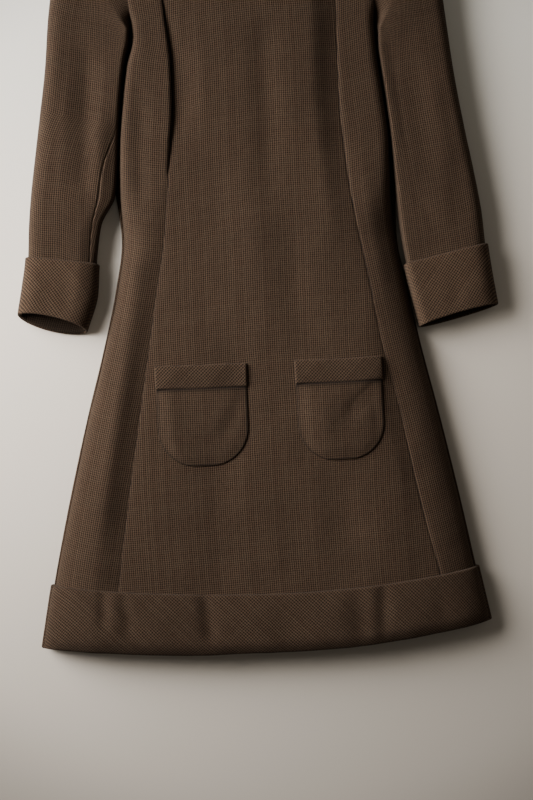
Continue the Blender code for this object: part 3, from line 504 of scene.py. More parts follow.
def shell(name, outer, inner, grain, material, cells=None, painted_shade=0.0, inside=0.0):
    """A closed thin shell between two grids of points, with the weave's coordinates on it.

    grain holds, for each point, how far across and along the yarns it is, in metres. cells
    says which cells are there, and the next argument how much painted shade darkens each point.
    inside is the same painted shade for the wrong side of the cloth.
    """
    rows, columns = outer.shape[:2]
    count = rows * columns
    cells = np.ones((rows - 1, columns - 1), bool) if cells is None else cells
    place = np.arange(count).reshape(rows, columns)
    corners = (place[:-1, :-1], place[:-1, 1:], place[1:, 1:], place[1:, :-1])
    a, b, c, d = (corner[cells] for corner in corners)
    edges = np.concatenate([np.stack(e, 1) for e in ((a, b), (b, c), (c, d), (d, a))])
    codes = edges[:, 0] * count + edges[:, 1]
    p, q = edges[~np.isin(codes, edges[:, 1] * count + edges[:, 0])].T
    top, under = np.stack([a, b, c, d], 1), np.stack([a, d, c, b], 1) + count
    faces = np.concatenate([top, under, np.stack([q, p, p + count, q + count], 1)])
    across, down = np.gradient(outer, axis=1), np.gradient(outer, axis=0)
    if (np.cross(across, down) * (outer - inner)).sum() < 0:
        faces = faces[:, ::-1]
    used, corner_of = np.unique(faces, return_inverse=True)
    corner_of = corner_of.ravel()
    points = np.concatenate([outer.reshape(-1, 3), inner.reshape(-1, 3)])[used]
    mesh = bpy.data.meshes.new(name)
    mesh.vertices.add(len(points))
    mesh.vertices.foreach_set("co", points.ravel())
    mesh.loops.add(len(corner_of))
    mesh.loops.foreach_set("vertex_index", corner_of.astype(np.int32))
    mesh.polygons.add(len(faces))
    mesh.polygons.foreach_set("loop_start", np.arange(0, len(corner_of), 4, dtype=np.int32))
    mesh.update(calc_edges=True)
    mesh.shade_smooth()
    layer = mesh.uv_layers.new(name="grain")
    both = np.concatenate([grain.reshape(-1, 2)] * 2)[used]
    layer.data.foreach_set("uv", both[corner_of].ravel())
    # painted shade, one value a point, kept as an attribute that darkens the cloth's colour
    shade_share = np.broadcast_to(painted_shade, (rows, columns)).ravel()
    shade_share = np.concatenate([shade_share, np.maximum(shade_share, inside)])[used]
    shade = mesh.attributes.new("painted_shade", "FLOAT", "POINT")
    shade.data.foreach_set("value", shade_share.astype(np.float32))
    thing = bpy.data.objects.new(name, mesh)
    bpy.context.scene.collection.objects.link(thing)
    mesh.materials.append(material)
    return thing


def run_lengths(grid, axis):
    """How far each point is from the first, measured along the cloth."""
    steps = np.linalg.norm(np.diff(grid, axis=axis), axis=2)
    start = np.zeros_like(np.take(steps, [0], axis=axis))
    return np.concatenate([start, np.cumsum(steps, axis=axis)], axis=axis)


def from_sides(grid):
    """How far each point is from the nearer of the grid's two lengthwise edges."""
    across = run_lengths(grid, 1)
    return np.minimum(across, across[:, -1:] - across)


def grain_of(grid, middle):
    """Weave coordinates whose straight grain runs down one column, true to length in all."""
    across = run_lengths(grid, 1)
    across = across - across[:, middle : middle + 1]
    away = grid[0] - grid[0, middle]
    run = grid[1, middle] - grid[0, middle]
    start = away @ (run / np.linalg.norm(run))
    return np.stack([across, start[None] + run_lengths(grid, 0)], 2)


def on_bias(grain):
    half = math.sqrt(0.5)
    u, v = grain[..., 0], grain[..., 1]
    return np.stack([(u - v) * half, (u + v) * half], 2)


def rolled(distance, radius, drop):
    """How far an edge falls within a radius of where it ends."""
    return drop * (1 - np.minimum(distance / radius, 1.0)) ** 2


# ---- the front panels ----
SEAM_DIP = 0.0006  # how far the cloth dips into a sewn seam
SEAM_REACH = 0.0034
PRESSED_AT, PRESSED_WIDTH, PRESSED_RISE = 0.011, 0.0045, 0.00016  # the seam allowance's edge


def seam_roll(distance):
    """How far the cloth drops beside a seam, with the edge of the pressed allowance under it."""
    ridge = PRESSED_RISE * np.exp(-(((distance - PRESSED_AT) / PRESSED_WIDTH) ** 2))
    return rolled(distance, SEAM_REACH, SEAM_DIP) - ridge


def painted_seam_shade(distance, depth=0.35, reach=0.0013):
    """How much painted shade darkens the cloth at this distance from a seam or edge, where shade
    falls.
    """
    return depth * np.exp(-((distance / reach) ** 2))


LEDGE_TUCK = 0.0012  # how far a ledge's edge turns back under itself
LEDGE_FULL = 0.003  # a ledge at least this deep is tucked and lapped in full
LEDGE_WALL_SHADE = 0.45  # painted shade on a ledge's wall, as dark as a shadowed crease
LAP = 0.0026  # how far the lower panel runs on under the ledge
LEDGE_TURN = ((1.0, 1.0), (0.45, 0.55), (0.05, 0.22))  # shares of the tuck and of the depth


def ledge_share(fall):
    """How fully a ledge of this depth is tucked and lapped."""
    return np.minimum(fall / LEDGE_FULL, 1.0)


def with_ledge(grid, grain, depth, under=None):
    """A panel with its first edge turned down to the lower panel beside it.

    Where under isn't 0, the edge runs on below the other panel instead.
    """
    first, first_grain = grid[:, :1], grain[:, :1]
    fall = depth(first[..., 1])
    tuck = LEDGE_TUCK * ledge_share(fall)
    if under:
        tuck = tuck - LAP * ledge_share(under(first[..., 1]))
    added, added_grain = [], []
    for inward, down in LEDGE_TURN:
        column, column_grain = first.copy(), first_grain.copy()
        column[..., 0] += tuck * inward
        column[..., 2] -= np.maximum(fall, THINNEST) * down
        column_grain[..., 0] -= fall * down
        added.append(column)
        added_grain.append(column_grain)
    return np.concatenate(added + [grid], 1), np.concatenate(added_grain + [grain], 1)


def lap(edge, depth, turned=None):
    """One more column of the lower panel, under the ledge, or turned down as a ledge itself."""
    under = edge.copy()
    under[..., 0] += np.maximum(LAP * ledge_share(depth(edge[..., 1])), SEAM / 2)
    if turned:
        fall = turned(edge[..., 1])
        under[..., 0] -= LEDGE_TUCK * ledge_share(fall)
        under[..., 2] -= fall
    return under


def princess_roll(x, y):
    """The dip at both princess seams."""
    left, right = np.abs(x - BODY["left_seam"](y)), np.abs(x - BODY["right_seam"](y))
    return seam_roll(left) + seam_roll(right)


CENTRE_COLUMNS = 98  # a multiple of 14, so a column meets the neck's corner
EDGE_SHARES = (0.0015, 0.0035, 0.0065)  # more columns beside the seams
SIDE_COLUMNS = 24
SHELF_COLUMNS = 8


def make_front_centre(material):
    even = [j / CENTRE_COLUMNS for j in range(CENTRE_COLUMNS + 1)]
    shares = sorted(even + list(EDGE_SHARES) + [1 - share for share in EDGE_SHARES])
    xs, ys = [], []
    for share in shares:

        def line(y, share=share):
            return mix(BODY["left_seam"](y), BODY["right_seam"](y), share)

        base = underarm_y(line(LEFT_UNDERARM_Y))
        x, y = both_places(FINE_ROWS, line, *neck_place(share, FRONT_NECK_DROP), base)
        nudge = {0.0: SEAM / 2, 1.0: -SEAM / 2}.get(share, 0.0)
        xs.append(x + nudge)
        ys.append(y)
    x, y = np.stack(xs, 1), np.stack(ys, 1)
    z = front_height(x, y) - ledge_dip(x, y)
    grid = np.stack([x, y, z], 2)
    flat_grain = grain_of(grid, len(shares) // 2)
    edge = from_sides(grid)
    grid[..., 2] -= seam_roll(edge)
    # painted shade beside the seams, and on the ledge walls and the lapped column
    painted_shade = painted_seam_shade(edge)
    grid, flat_grain = with_ledge(grid, flat_grain, LEFT_LEDGE, CHEST_LEDGE)
    grid = np.concatenate([grid, lap(grid[:, -1:], RIGHT_LEDGE)], 1)
    flat_grain = np.concatenate([flat_grain, flat_grain[:, -1:]], 1)
    painted_shade = np.pad(painted_shade, ((0, 0), (len(LEDGE_TURN), 1)), constant_values=LEDGE_WALL_SHADE)
    n = normals_of(grid)
    return shell("front_centre_cloth", grid, grid - n * WALL, flat_grain, material, painted_shade=painted_shade)


def side_front_points(side):
    """The points of a side front, from princess seam to roll line, then over the shelf."""
    seam, roll, edge = side_of("seam", side), side_of("roll", side), side_of("edge", side)
    base = underarm_of(side)
    end_x = shoulder_end_x(side)
    neck_end = math.copysign(float(BODY["right_seam"](TOP_Y)), side)
    seam_base = float(underarm_y(seam(base)))
    columns = []
    for j in range(SIDE_COLUMNS + 1):
        share = j / SIDE_COLUMNS

        def line(y, share=share):
            left, right = BODY["left_roll"](y), BODY["right_roll"](y)
            middle, half = (left + right) / 2, (right - left) / 2
            a = np.arcsin((seam(y) - middle) / half)
            return middle + half * np.sin(mix(a, side * math.pi / 2, share))

        top_x = mix(neck_end, end_x, share)
        x, y = both_places(
            FINE_ROWS, line, top_x, float(shoulder_y(top_x)), mix(seam_base, base, share)
        )
        z = front_height(x, y) - (ledge_dip(x - SEAM, y) if side < 0 else 0.0)
        columns.append(np.stack([x, y, z], 1))
    below = len(FINE_ROWS.low)
    for k in range(1, SHELF_COLUMNS + 1):
        share = math.sin(k / SHELF_COLUMNS * math.pi / 2)

        def line(y, share=share):
            return mix(roll(y), edge(y), share)

        x, y = low_places(FINE_ROWS, line, base)
        y = y - SCOOP_DROP * share * smooth(base - SCOOP_FADE, base, y)
        z = shelf_height(y, share)
        column = np.full((len(FINE_ROWS.low) + len(FINE_ROWS.high), 3), np.nan)
        column[:below] = np.stack([x, y, z], 1)
        columns.append(column)
    return np.stack(columns, 1)


def cells_of(grid):
    """Which cells of a grid have all four of their points."""
    there = np.isfinite(grid[..., 0])
    return there[:-1, :-1] & there[:-1, 1:] & there[1:, 1:] & there[1:, :-1]


def filled(grid):
    """The grid with each missing point taken from the column before it."""
    grid = grid.copy()
    for j in range(1, grid.shape[1]):
        gone = ~np.isfinite(grid[:, j, 0])
        grid[gone, j] = grid[gone, j - 1] + (grid[gone, j - 1] - grid[gone, j - 2])
    return grid


def make_side_front(side, suffix, material):
    raw = side_front_points(side)
    cells = cells_of(raw)
    grid = filled(raw)
    grain = grain_of(grid, SIDE_COLUMNS // 2)
    along_row = run_lengths(grid, 1)
    grid[..., 2] -= seam_roll(along_row)
    above = len(FINE_ROWS.low)
    armhole = np.abs(along_row[above:] - along_row[above:, SIDE_COLUMNS : SIDE_COLUMNS + 1])
    rising = np.linspace(0, 1, len(armhole))[:, None]
    grid[above:, :, 2] -= rolled(armhole, SEAM_REACH, SEAM_DIP) * rising
    grid[:, 0, 0] += side * SEAM / 2
    if side > 0:
        grid, grain = with_ledge(grid, grain, RIGHT_LEDGE)
    else:
        grid = np.concatenate([lap(grid[:, :1], LEFT_LEDGE, CHEST_LEDGE), grid], 1)
        grain = np.concatenate([grain[:, :1], grain], 1)
    added = grid.shape[1] - raw.shape[1]
    cells = np.concatenate([np.repeat(cells[:, :1], added, 1), cells], 1)
    # painted shade beside the seams and on the ledge's wall
    painted_shade = np.pad(painted_seam_shade(along_row), ((0, 0), (added, 0)), constant_values=LEDGE_WALL_SHADE)
    n = normals_of(grid) * side
    name = "side_front_%s_cloth" % suffix
    return shell(name, grid, grid - n * WALL, grain, material, cells, painted_shade)


# ---- the backs ----
BACK_COLUMNS = 35
BACK_TURN_COLUMNS = 6
BACK_NECK_SHARE = 4 / 7  # how much of a back's top edge is neckline
BACK_ROUND = 1.25  # how far in the turned-up edge begins, as a multiple of its height
BACK_ROUND_MOST = 0.9  # the same as a share of the strip's width, at most
JUST_BELOW = 0.001  # the underarm


def back_points(side):
    roll, edge = side_of("roll", side), side_of("edge", side)
    base = underarm_of(side)
    end_x = shoulder_end_x(side)
    low_rows, all_rows = len(COARSE_ROWS.low), len(COARSE_ROWS.low) + len(COARSE_ROWS.high)

    def strip(y):
        """Where the turned-up strip begins, or the armhole."""
        inner, outer = np.abs(roll(y)), np.abs(edge(y)) - BACK_EDGE_STRIP
        return side * np.where(y < base - JUST_BELOW, np.minimum(inner, outer), inner)

    columns = []
    for j in range(BACK_COLUMNS + 1):
        share = j / BACK_COLUMNS

        def line(y, share=share):
            return strip(y) * share

        if share <= BACK_NECK_SHARE:
            angle = share / BACK_NECK_SHARE * math.pi / 2
            top_x = side * NECK_HALF * math.sin(angle)
            top_y = TOP_Y - BACK_NECK_DROP * math.cos(angle)
        else:
            beyond = (share - BACK_NECK_SHARE) / (1 - BACK_NECK_SHARE)
            top_x = mix(side * NECK_HALF, end_x, beyond)
            top_y = float(shoulder_y(top_x))
        row_base = mix(float(underarm_y(0)), base, share)
        x, y = both_places(COARSE_ROWS, line, top_x, top_y, row_base)
        below = np.maximum(shoulder_y(x) - y, 0.0)
        turn = np.clip(1 - below / BACK_SHOULDER_ROUND, 0.0, 1.0) * (y > base)
        z = band_lift(y - hem_rise(x)) + SHOULDER_Z * (1 - np.sqrt(1 - turn * turn))
        columns.append(np.stack([x, y, z], 1))
    for k in range(1, BACK_TURN_COLUMNS + 1):
        turn = k / BACK_TURN_COLUMNS
        x, y = low_places(COARSE_ROWS, edge, base)
        start = strip(y)
        strip_width = np.abs(x - start)
        radius = np.minimum(BODY["side_z"](y) * BACK_ROUND, strip_width * BACK_ROUND_MOST)
        x = x - side * radius * (1 - math.sin(turn * math.pi / 2))
        share = (x - start) / (edge(y) - start)
        low = band_lift(y - hem_rise(x))
        z = low + (BODY["side_z"](y) - low) * (1 - math.cos(turn * math.pi / 2))
        y = y - SCOOP_DROP * share * smooth(base - SCOOP_FADE, base, y)
        column = np.full((all_rows, 3), np.nan)
        column[:low_rows] = np.stack([x, y, z], 1)
        columns.append(column)
    return np.stack(columns, 1)


def make_back(side, suffix, material):
    raw = back_points(side)
    cells = cells_of(raw)
    grid = filled(raw)
    grain = grain_of(grid, 0)
    edge = run_lengths(grid, 1)
    grid[..., 2] += rolled(edge, SEAM_REACH, SEAM_DIP)
    grid[:, 0, 0] += side * SEAM / 2
    n = normals_of(grid) * side
    name = "back_%s_cloth" % suffix
    return shell(name, grid, grid + n * WALL, grain, material, cells)


# ---- bands folded double ----
LAYER = 0.0017  # one layer of a folded band
FOLD_STEPS = 6
TOP_TURN = 0.0022  # within which a band's sewn edge turns down to what it lies on
END_TURN = 0.0024
END_KEPT, EDGE_KEPT = 0.30, 0.42  # shares of the thickness at a band's ends and its sewn edge
UNDER_LAYER_MOST = 1.9  # radii of the fold
PUFF_POWER = 0.8
INNER_SHORT = 0.0035  # the under layer ends this far short of the sewn edge


def band_distances(width):
    """Distances from a band's fold to its sewn edge, closer together near both."""
    near = [0.0, 0.0008, 0.0018, 0.0032]
    middle = np.linspace(0.0055, width - 0.0055, max(round(width / (FRONT_STEP * 0.9)), 4))
    far = [width - 0.0034, width - 0.0018, width - 0.0008, width]
    return np.concatenate([near, middle, far])


def end_shares(distance, other):
    """How far a band keeps its thickness near its two ends."""
    return mix(END_KEPT, 1.0, rounded(np.minimum(distance, other), END_TURN))


def puffed(height, distances):
    """How far a band's outer layer stands off between its fold and its sewn edge."""
    return height * np.sin(math.pi * (distances[:, None] / distances[-1])) ** PUFF_POWER


def folded_band(name, material, base, normals, distances, thickness, puff, middle, ends=1.0):
    """A band folded double. base holds the points that it lies on, a row for each distance.

    The cloth runs from the sewn edge down the outer layer, round the fold, and up the under
    layer, which ends short of the sewn edge. puff is how far the outer layer stands off, and
    middle the column that the grain follows.
    """
    width = distances[-1]
    ends = np.zeros(base.shape[1]) + ends
    layer = LAYER * ends
    keep = mix(EDGE_KEPT, 1.0, rounded(width - distances, TOP_TURN))[:, None]
    high = LAY_GAP + (thickness * keep + puff) * ends
    low = np.maximum(high - layer, LAY_GAP)
    outside = [(base + normals * high[..., None])[::-1]]
    inside = [(base + normals * low[..., None])[::-1]]
    run = base[0] - base[1]
    run /= np.linalg.norm(run, axis=1, keepdims=True)
    halfway, radius = (LAY_GAP + high[0]) / 2, (high[0] - LAY_GAP) / 2
    thin = np.maximum(radius - layer, THINNEST)
    for k in range(1, FOLD_STEPS):
        reach, rise = math.sin(math.pi * k / FOLD_STEPS), math.cos(math.pi * k / FOLD_STEPS)
        for rows, r in ((outside, radius), (inside, thin)):
            lift = (halfway + r * rise)[:, None]
            rows.append((base[0] + run * (r * reach)[:, None] + normals[0] * lift)[None])
    under = distances <= width - INNER_SHORT
    layer_top = LAY_GAP + np.minimum(layer, radius * UNDER_LAYER_MOST)
    outside.append(base[under] + normals[under] * LAY_GAP)
    inside.append(base[under] + normals[under] * layer_top[:, None])
    outside, inside = np.concatenate(outside), np.concatenate(inside)
    grain = on_bias(grain_of(outside, middle))
    # painted shade along the band's sewn edge
    painted_shade = np.zeros(outside.shape[:2])
    painted_shade[: len(distances)] = painted_seam_shade(width - distances[::-1])[:, None]
    return shell(name, outside, inside, grain, material, painted_shade=painted_shade)


# ---- the hem band ----
HEM_COLUMNS = 160
HEM_BACK_COLUMNS = 60
HEM_BACK_WALL = BAND_WALL - 0.0002
HEM_PUFF, HEM_PUFF_STARTS = 0.0014, 0.012
HEM_STARTS_Y = HEM_Y - 0.001
HEM_WIDTH = BAND_TOP_Y - HEM_STARTS_Y
SHELF_SHARES = (0.4, 0.75, 0.9, 0.97, 1.0)
# Where the band's own folds press it in, besides those of the skirt under it.
BAND_FOLDS = rows_of(
    Fold,
    (-0.2197, -0.4429, -0.2208, -0.4893, 0.008, 0.0030),
    (-0.1942, -0.4477, -0.1860, -0.4971, 0.009, 0.0026),
    (-0.0849, -0.4497, -0.0771, -0.5140, 0.009, 0.0036),
    (0.1180, -0.4549, 0.1250, -0.5145, 0.013, 0.0026),
    (0.1543, -0.4449, 0.1527, -0.5075, 0.009, 0.0030),
    (0.0250, -0.4600, 0.0200, -0.5200, 0.016, 0.0008),
    (-0.1400, -0.4700, -0.1350, -0.5300, 0.014, -0.0009),
    (0.2250, -0.4450, 0.2350, -0.5000, 0.010, 0.0009),
    (0.0900, -0.4650, 0.0950, -0.5300, 0.014, -0.0008),
)


def hem_points(plain):
    """The front's lowest rows from side seam to side seam, for rows at these plain heights."""
    columns = []

    def shelf(side, share):
        roll, edge = side_of("roll", side), side_of("edge", side)
        x, y = raised(lambda y: mix(roll(y), edge(y), share), plain)
        columns.append(np.stack([x, y, shelf_height(y, share)], 1))

    for share in SHELF_SHARES[::-1]:
        shelf(-1, share)
    for j in range(HEM_COLUMNS + 1):
        angle = (j / HEM_COLUMNS - 0.5) * math.pi

        def line(y, angle=angle):
            left, right = BODY["left_roll"](y), BODY["right_roll"](y)
            return (left + right) / 2 + (right - left) / 2 * math.sin(angle)

        x, y = raised(line, plain)
        columns.append(np.stack([x, y, front_height(x, y)], 1))
    for share in SHELF_SHARES:
        shelf(1, share)
    return np.stack(columns, 1)


def level_ends(normals):
    """Normals at the two side seams point sideways, so that front and back meet there."""
    for column in (0, -1):
        normals[:, column, 2] = 0.0
    return normals / np.linalg.norm(normals, axis=2, keepdims=True)


def make_hem_front(material):
    distances = band_distances(HEM_WIDTH)
    base = hem_points(HEM_STARTS_Y + distances)
    normals = normals_of(base)
    normals = level_ends(normals * np.sign(normals[..., 2].mean()))
    x, y = base[..., 0], base[..., 1]
    share = distances[:, None] / HEM_WIDTH
    puff = puffed(HEM_PUFF, distances) - fold_depth(BAND_FOLDS, x, y)
    puff = puff + HEM_WAVE * unevenness(x * 1.7, y * 0.7 + 0.4) * (1 - share) ** 0.5
    puff *= smooth(0.0, HEM_PUFF_STARTS, np.minimum(x - x[:, :1], x[:, -1:] - x))
    name, middle = "hem_band_front_cloth", base.shape[1] // 2
    return folded_band(name, material, base, normals, distances, BAND_WALL, puff, middle)


def make_hem_back(material):
    distances = band_distances(HEM_WIDTH)
    plain = HEM_STARTS_Y + distances
    columns = []

    def add(line, height):
        x, y = raised(line, plain)
        columns.append(np.stack([x, y, height + np.zeros(len(y))], 1))

    lift = BAND_WALL + LAY_GAP
    side_z = float(BODY["side_z"](HEM_Y))
    radius = side_z * BACK_ROUND

    def turned_up(side, turn):
        edge = side_of("edge", side)
        inward = radius * (1 - math.sin(turn * math.pi / 2))
        height = lift + (side_z - lift) * (1 - math.cos(turn * math.pi / 2))
        add(lambda y: edge(y) - side * inward, height)

    turns = np.linspace(0, 1, BACK_TURN_COLUMNS + 1)
    for turn in turns[::-1]:
        turned_up(-1, turn)
    for share in np.linspace(0, 1, HEM_BACK_COLUMNS + 1)[1:-1]:
        left, right = side_of("edge", -1), side_of("edge", 1)
        add(lambda y, share=share: mix(left(y) + radius, right(y) - radius, share), lift)
    for turn in turns:
        turned_up(1, turn)
    base = np.stack(columns, 1)
    normals = normals_of(base)
    normals = level_ends(-normals * np.sign(normals[..., 2].mean()))
    name, middle = "hem_band_back_cloth", base.shape[1] // 2
    return folded_band(name, material, base, normals, distances, HEM_BACK_WALL, 0.0, middle)


# ---- the sleeves ----
SLEEVE_COLUMNS = 42  # of each of a sleeve's two pieces


def sleeve_lift(side, x, y):
    """How high the side panel's shelf holds up the sleeve's underside."""
    edge, roll = np.abs(side_of("edge", side)(y)), np.abs(side_of("roll", side)(y))
    base = underarm_of(side)
    past_edge = np.abs(x) - edge
    shelf = np.maximum(edge - roll, SHELF_LEAST)
    past_roll = np.clip((np.abs(x) - roll) / shelf, 0.0, 1.0)
    scoop = base - SCOOP_DROP * past_roll
    held = smooth(*SHELF_STARTS_Y, y) * smooth(SLEEVE_RAMP, SLEEVE_HOLD, past_edge)
    held *= smooth(SCOOP_HOLD[1], SCOOP_HOLD[0], y - scoop)
    return (BODY["roll_z"](np.minimum(y, base)) + SLEEVE_CLEAR) * held


def inner_seam_turn(side, share):
    """Where the inner seam lies, round a ring from its outer edge over the top."""
    out = LEFT_SEAM_OUT(share) if side < 0 else np.ones(len(share))
    return np.arccos(-np.minimum(out, HIDDEN_SEAM)) / (2 * math.pi)


def sleeve_points(side, share, turn):
    """Points of a sleeve: share runs armhole to wrist, turn once round from the outer edge."""
    ring, _ = SLEEVES[side]
    share, turn = np.asarray(share)[:, None], np.atleast_2d(turn)
    angle = 2 * math.pi * turn
    across = np.cos(angle) + 0 * share
    f = (1 - across) / 2
    x = mix(ring["outer_x"](share), ring["inner_x"](share), f)
    y = mix(ring["outer_y"](share), ring["inner_y"](share), f)
    middle = mix(ring["outer_z"](share), ring["inner_z"](share), f)
    up = np.abs(np.sin(angle))
    at_armhole = smooth(ARMHOLE_FADE, 0.0, share)
    x = mix(x, armhole_x(side, y) + side * ARMHOLE_GAP, at_armhole)
    out = np.abs(across)
    top = np.sqrt(1 - out ** np.where(across < 0, INNER_BOXES[side](share), OUTER_BOX(share)))
    sloped = LEFT_SLOPE(share) * (across < 0) * (side < 0)
    top = top * (1 - sloped * smooth(*SLOPE_OUT, out))
    over = middle + (ring["top_z"](share) - middle) * top
    sewn = np.maximum(BODY["roll_z"](y), middle + SEWN_RISE * up)
    over = mix(over, sewn, at_armhole)
    pressed = fold_depth(SLEEVE_FOLDS, x, y) + fold_depth(FINE_SLEEVE_FOLDS, x, y)
    waves = SLEEVE_WAVE * unevenness(x, y)
    over = over - (pressed - waves) * up * (1 - SEWN_STILL * at_armhole)
    front = turn % 1 <= 0.5
    front_arc, back_arc = CUFF_ARCS[side]
    low = sleeve_lift(side, x, y) + (CUFF_WALL + LAY_GAP) * smooth(*CUFF_LIFT_SHARES, share)
    past = np.maximum(np.abs(across) - SLEEVE_FLAT, 0.0) / (1 - SLEEVE_FLAT)
    beneath = low + (middle - low) * (1 - np.sqrt(1 - past * past)) + SLEEVE_ARCH * up * up
    y = y + np.where(front, front_arc, -back_arc) * up * smooth(CUFF_ARC_STARTS, 1.0, share)
    return np.stack([x, y, np.where(front, over, beneath)], 2)


SLEEVE_INSIDE_SHADE = 0.6  # painted shade on the wrong side, which darkens the sleeve's hollow inside
# painted shade along the sleeve's seams
SLEEVE_SEAM_SHADE = 0.12
SLEEVE_SEAM_DIP = 0.15  # share of the body's seam dip


def make_sleeve(side, suffix, material):
    length = SLEEVES[side][1]
    shares = np.linspace(0, 1, round(length / FRONT_STEP) + 1)
    seam = inner_seam_turn(side, shares)
    back = np.full(len(shares), BACK_SEAM_TURN)
    made = []
    for kind, start, stop in (("top", back - 1, seam), ("under", seam, back)):
        turns = np.linspace(start, stop, SLEEVE_COLUMNS + 1, axis=1)
        grid = sleeve_points(side, shares, turns)
        n = normals_of(grid)
        n *= np.sign((n[..., 2].mean()) * (1 if kind == "top" else -1))
        grain = grain_of(grid, SLEEVE_COLUMNS // 2)
        edge = from_sides(grid)
        dip = seam_roll(edge) * SLEEVE_SEAM_DIP
        dip = dip + rolled(shares * length, SEAM_REACH, SEAM_DIP)[:, None] * SLEEVE_SEAM_DIP
        outer = grid - n * dip[..., None]
        name = "%s_sleeve_%s_cloth" % (kind, suffix)
        # painted shade at the seams, and more on the wrong side
        painted_shade = painted_seam_shade(edge, SLEEVE_SEAM_SHADE)
        inner = grid - n * (WALL + np.maximum(dip, 0)[..., None])
        made.append(shell(name, outer, inner, grain, material, painted_shade=painted_shade, inside=SLEEVE_INSIDE_SHADE))
    return made


# ---- the cuffs ----
CUFF_COLUMNS = 120
CUFF_PUFF = 0.0010
CUFF_TOP = (0.1, 0.4)  # turns that face up
CUFF_FOLDS = rows_of(
    Fold,
    (-0.262, 0.000, -0.258, -0.060, 0.010, 0.0007),
    (-0.300, -0.010, -0.302, -0.060, 0.012, -0.0006),
    (0.262, -0.020, 0.268, -0.080, 0.010, 0.0007),
    (0.298, -0.010, 0.300, -0.060, 0.010, -0.0006),
    (0.232, -0.040, 0.238, -0.090, 0.008, 0.0006),
)


def make_cuff(side, suffix, material):
    length = SLEEVES[side][1]
    width = (1 - CUFF_STARTS) * length
    distances = band_distances(width)
    first, last = BACK_SEAM_TURN - 1 + SEAM_HALF_GAP, BACK_SEAM_TURN - SEAM_HALF_GAP
    turns = np.linspace(first, last, CUFF_COLUMNS + 1)
    base = sleeve_points(side, 1 - distances / length, turns)
    normals = normals_of(base)
    on_top = (turns > CUFF_TOP[0]) & (turns < CUFF_TOP[1])
    normals *= np.sign(normals[:, on_top, 2].mean())
    x, y = base[..., 0], base[..., 1]
    puff = puffed(CUFF_PUFF, distances) + CUFF_WAVE * unevenness(x * 1.6, y * 1.3)
    up = np.maximum(np.sin(2 * math.pi * turns), 0.0)[None]
    puff = (puff - fold_depth(CUFF_FOLDS, x, y)) * up
    name, middle = "cuff_%s_cloth" % suffix, CUFF_COLUMNS // 3
    return folded_band(name, material, base, normals, distances, CUFF_WALL, puff, middle)


# ---- the pockets ----
Pocket = namedtuple("Pocket", "suffix middle_x top_y half_width bottom_y corner tilt")
POCKETS = (
    Pocket("left", -0.0805, -0.1445, 0.0605, -0.2785, 0.050, 0.010),
    Pocket("right", 0.1030, -0.1415, 0.0575, -0.2755, 0.048, 0.022),
)
POCKET_BAND_HEIGHT = 0.030
POCKET_BAND_OVERHANG = 0.001
POCKET_EDGE_ROUND = 0.0030
POCKET_KEPT = (0.25, 0.75)  # shares of its wall at its sewn edge and within
POCKET_STANDS, POCKET_STANDS_FROM = 0.0022, 0.018  # off the front, this far in from its edge
POCKET_OUTLINE_SHADE, MOUTH_SHADE = (0.7, 0.0022), (0.85, 0.0034)  # painted shade along the sewn outline and under the band's lower edge: how dark and how wide
SHADE_MOST = 0.9
MOUTH_WALL = POCKET_BAND_WALL - 0.0006
SLOPE_STEP = 0.0015
MOUTH_PUFF, MOUTH_SAG = 0.0009, 0.0010  # the mouth hangs open a little
POCKET_FOLDS = rows_of(
    Fold,
    (-0.0200, -0.1850, -0.0560, -0.2430, 0.012, 0.0019),
    (0.1600, -0.1740, 0.1180, -0.2120, 0.011, 0.0036),
    (0.1500, -0.2000, 0.1580, -0.2350, 0.012, 0.0022),
    (-0.1250, -0.1900, -0.1100, -0.2500, 0.014, -0.0008),
    (0.0800, -0.1900, 0.0850, -0.2500, 0.016, -0.0010),
)


def front_surface(x, y):
    return front_height(x, y) - princess_roll(x, y)


def on_front(x, y):
    """Points and normals of the front under these places."""
    h = SLOPE_STEP
    z = front_surface(x, y)
    dx = (front_surface(x + h, y) - front_surface(x - h, y)) / (2 * h)
    dy = (front_surface(x, y + h) - front_surface(x, y - h)) / (2 * h)
    n = np.stack([-dx, -dy, np.ones_like(dx)], 2)
    return np.stack([x, y, z], 2), n / np.linalg.norm(n, axis=2, keepdims=True)


def pocket_places(pocket, x, y):
    cos, sin = math.cos(pocket.tilt), math.sin(pocket.tilt)
    return pocket.middle_x + x * cos - y * sin, pocket.top_y + x * sin + y * cos


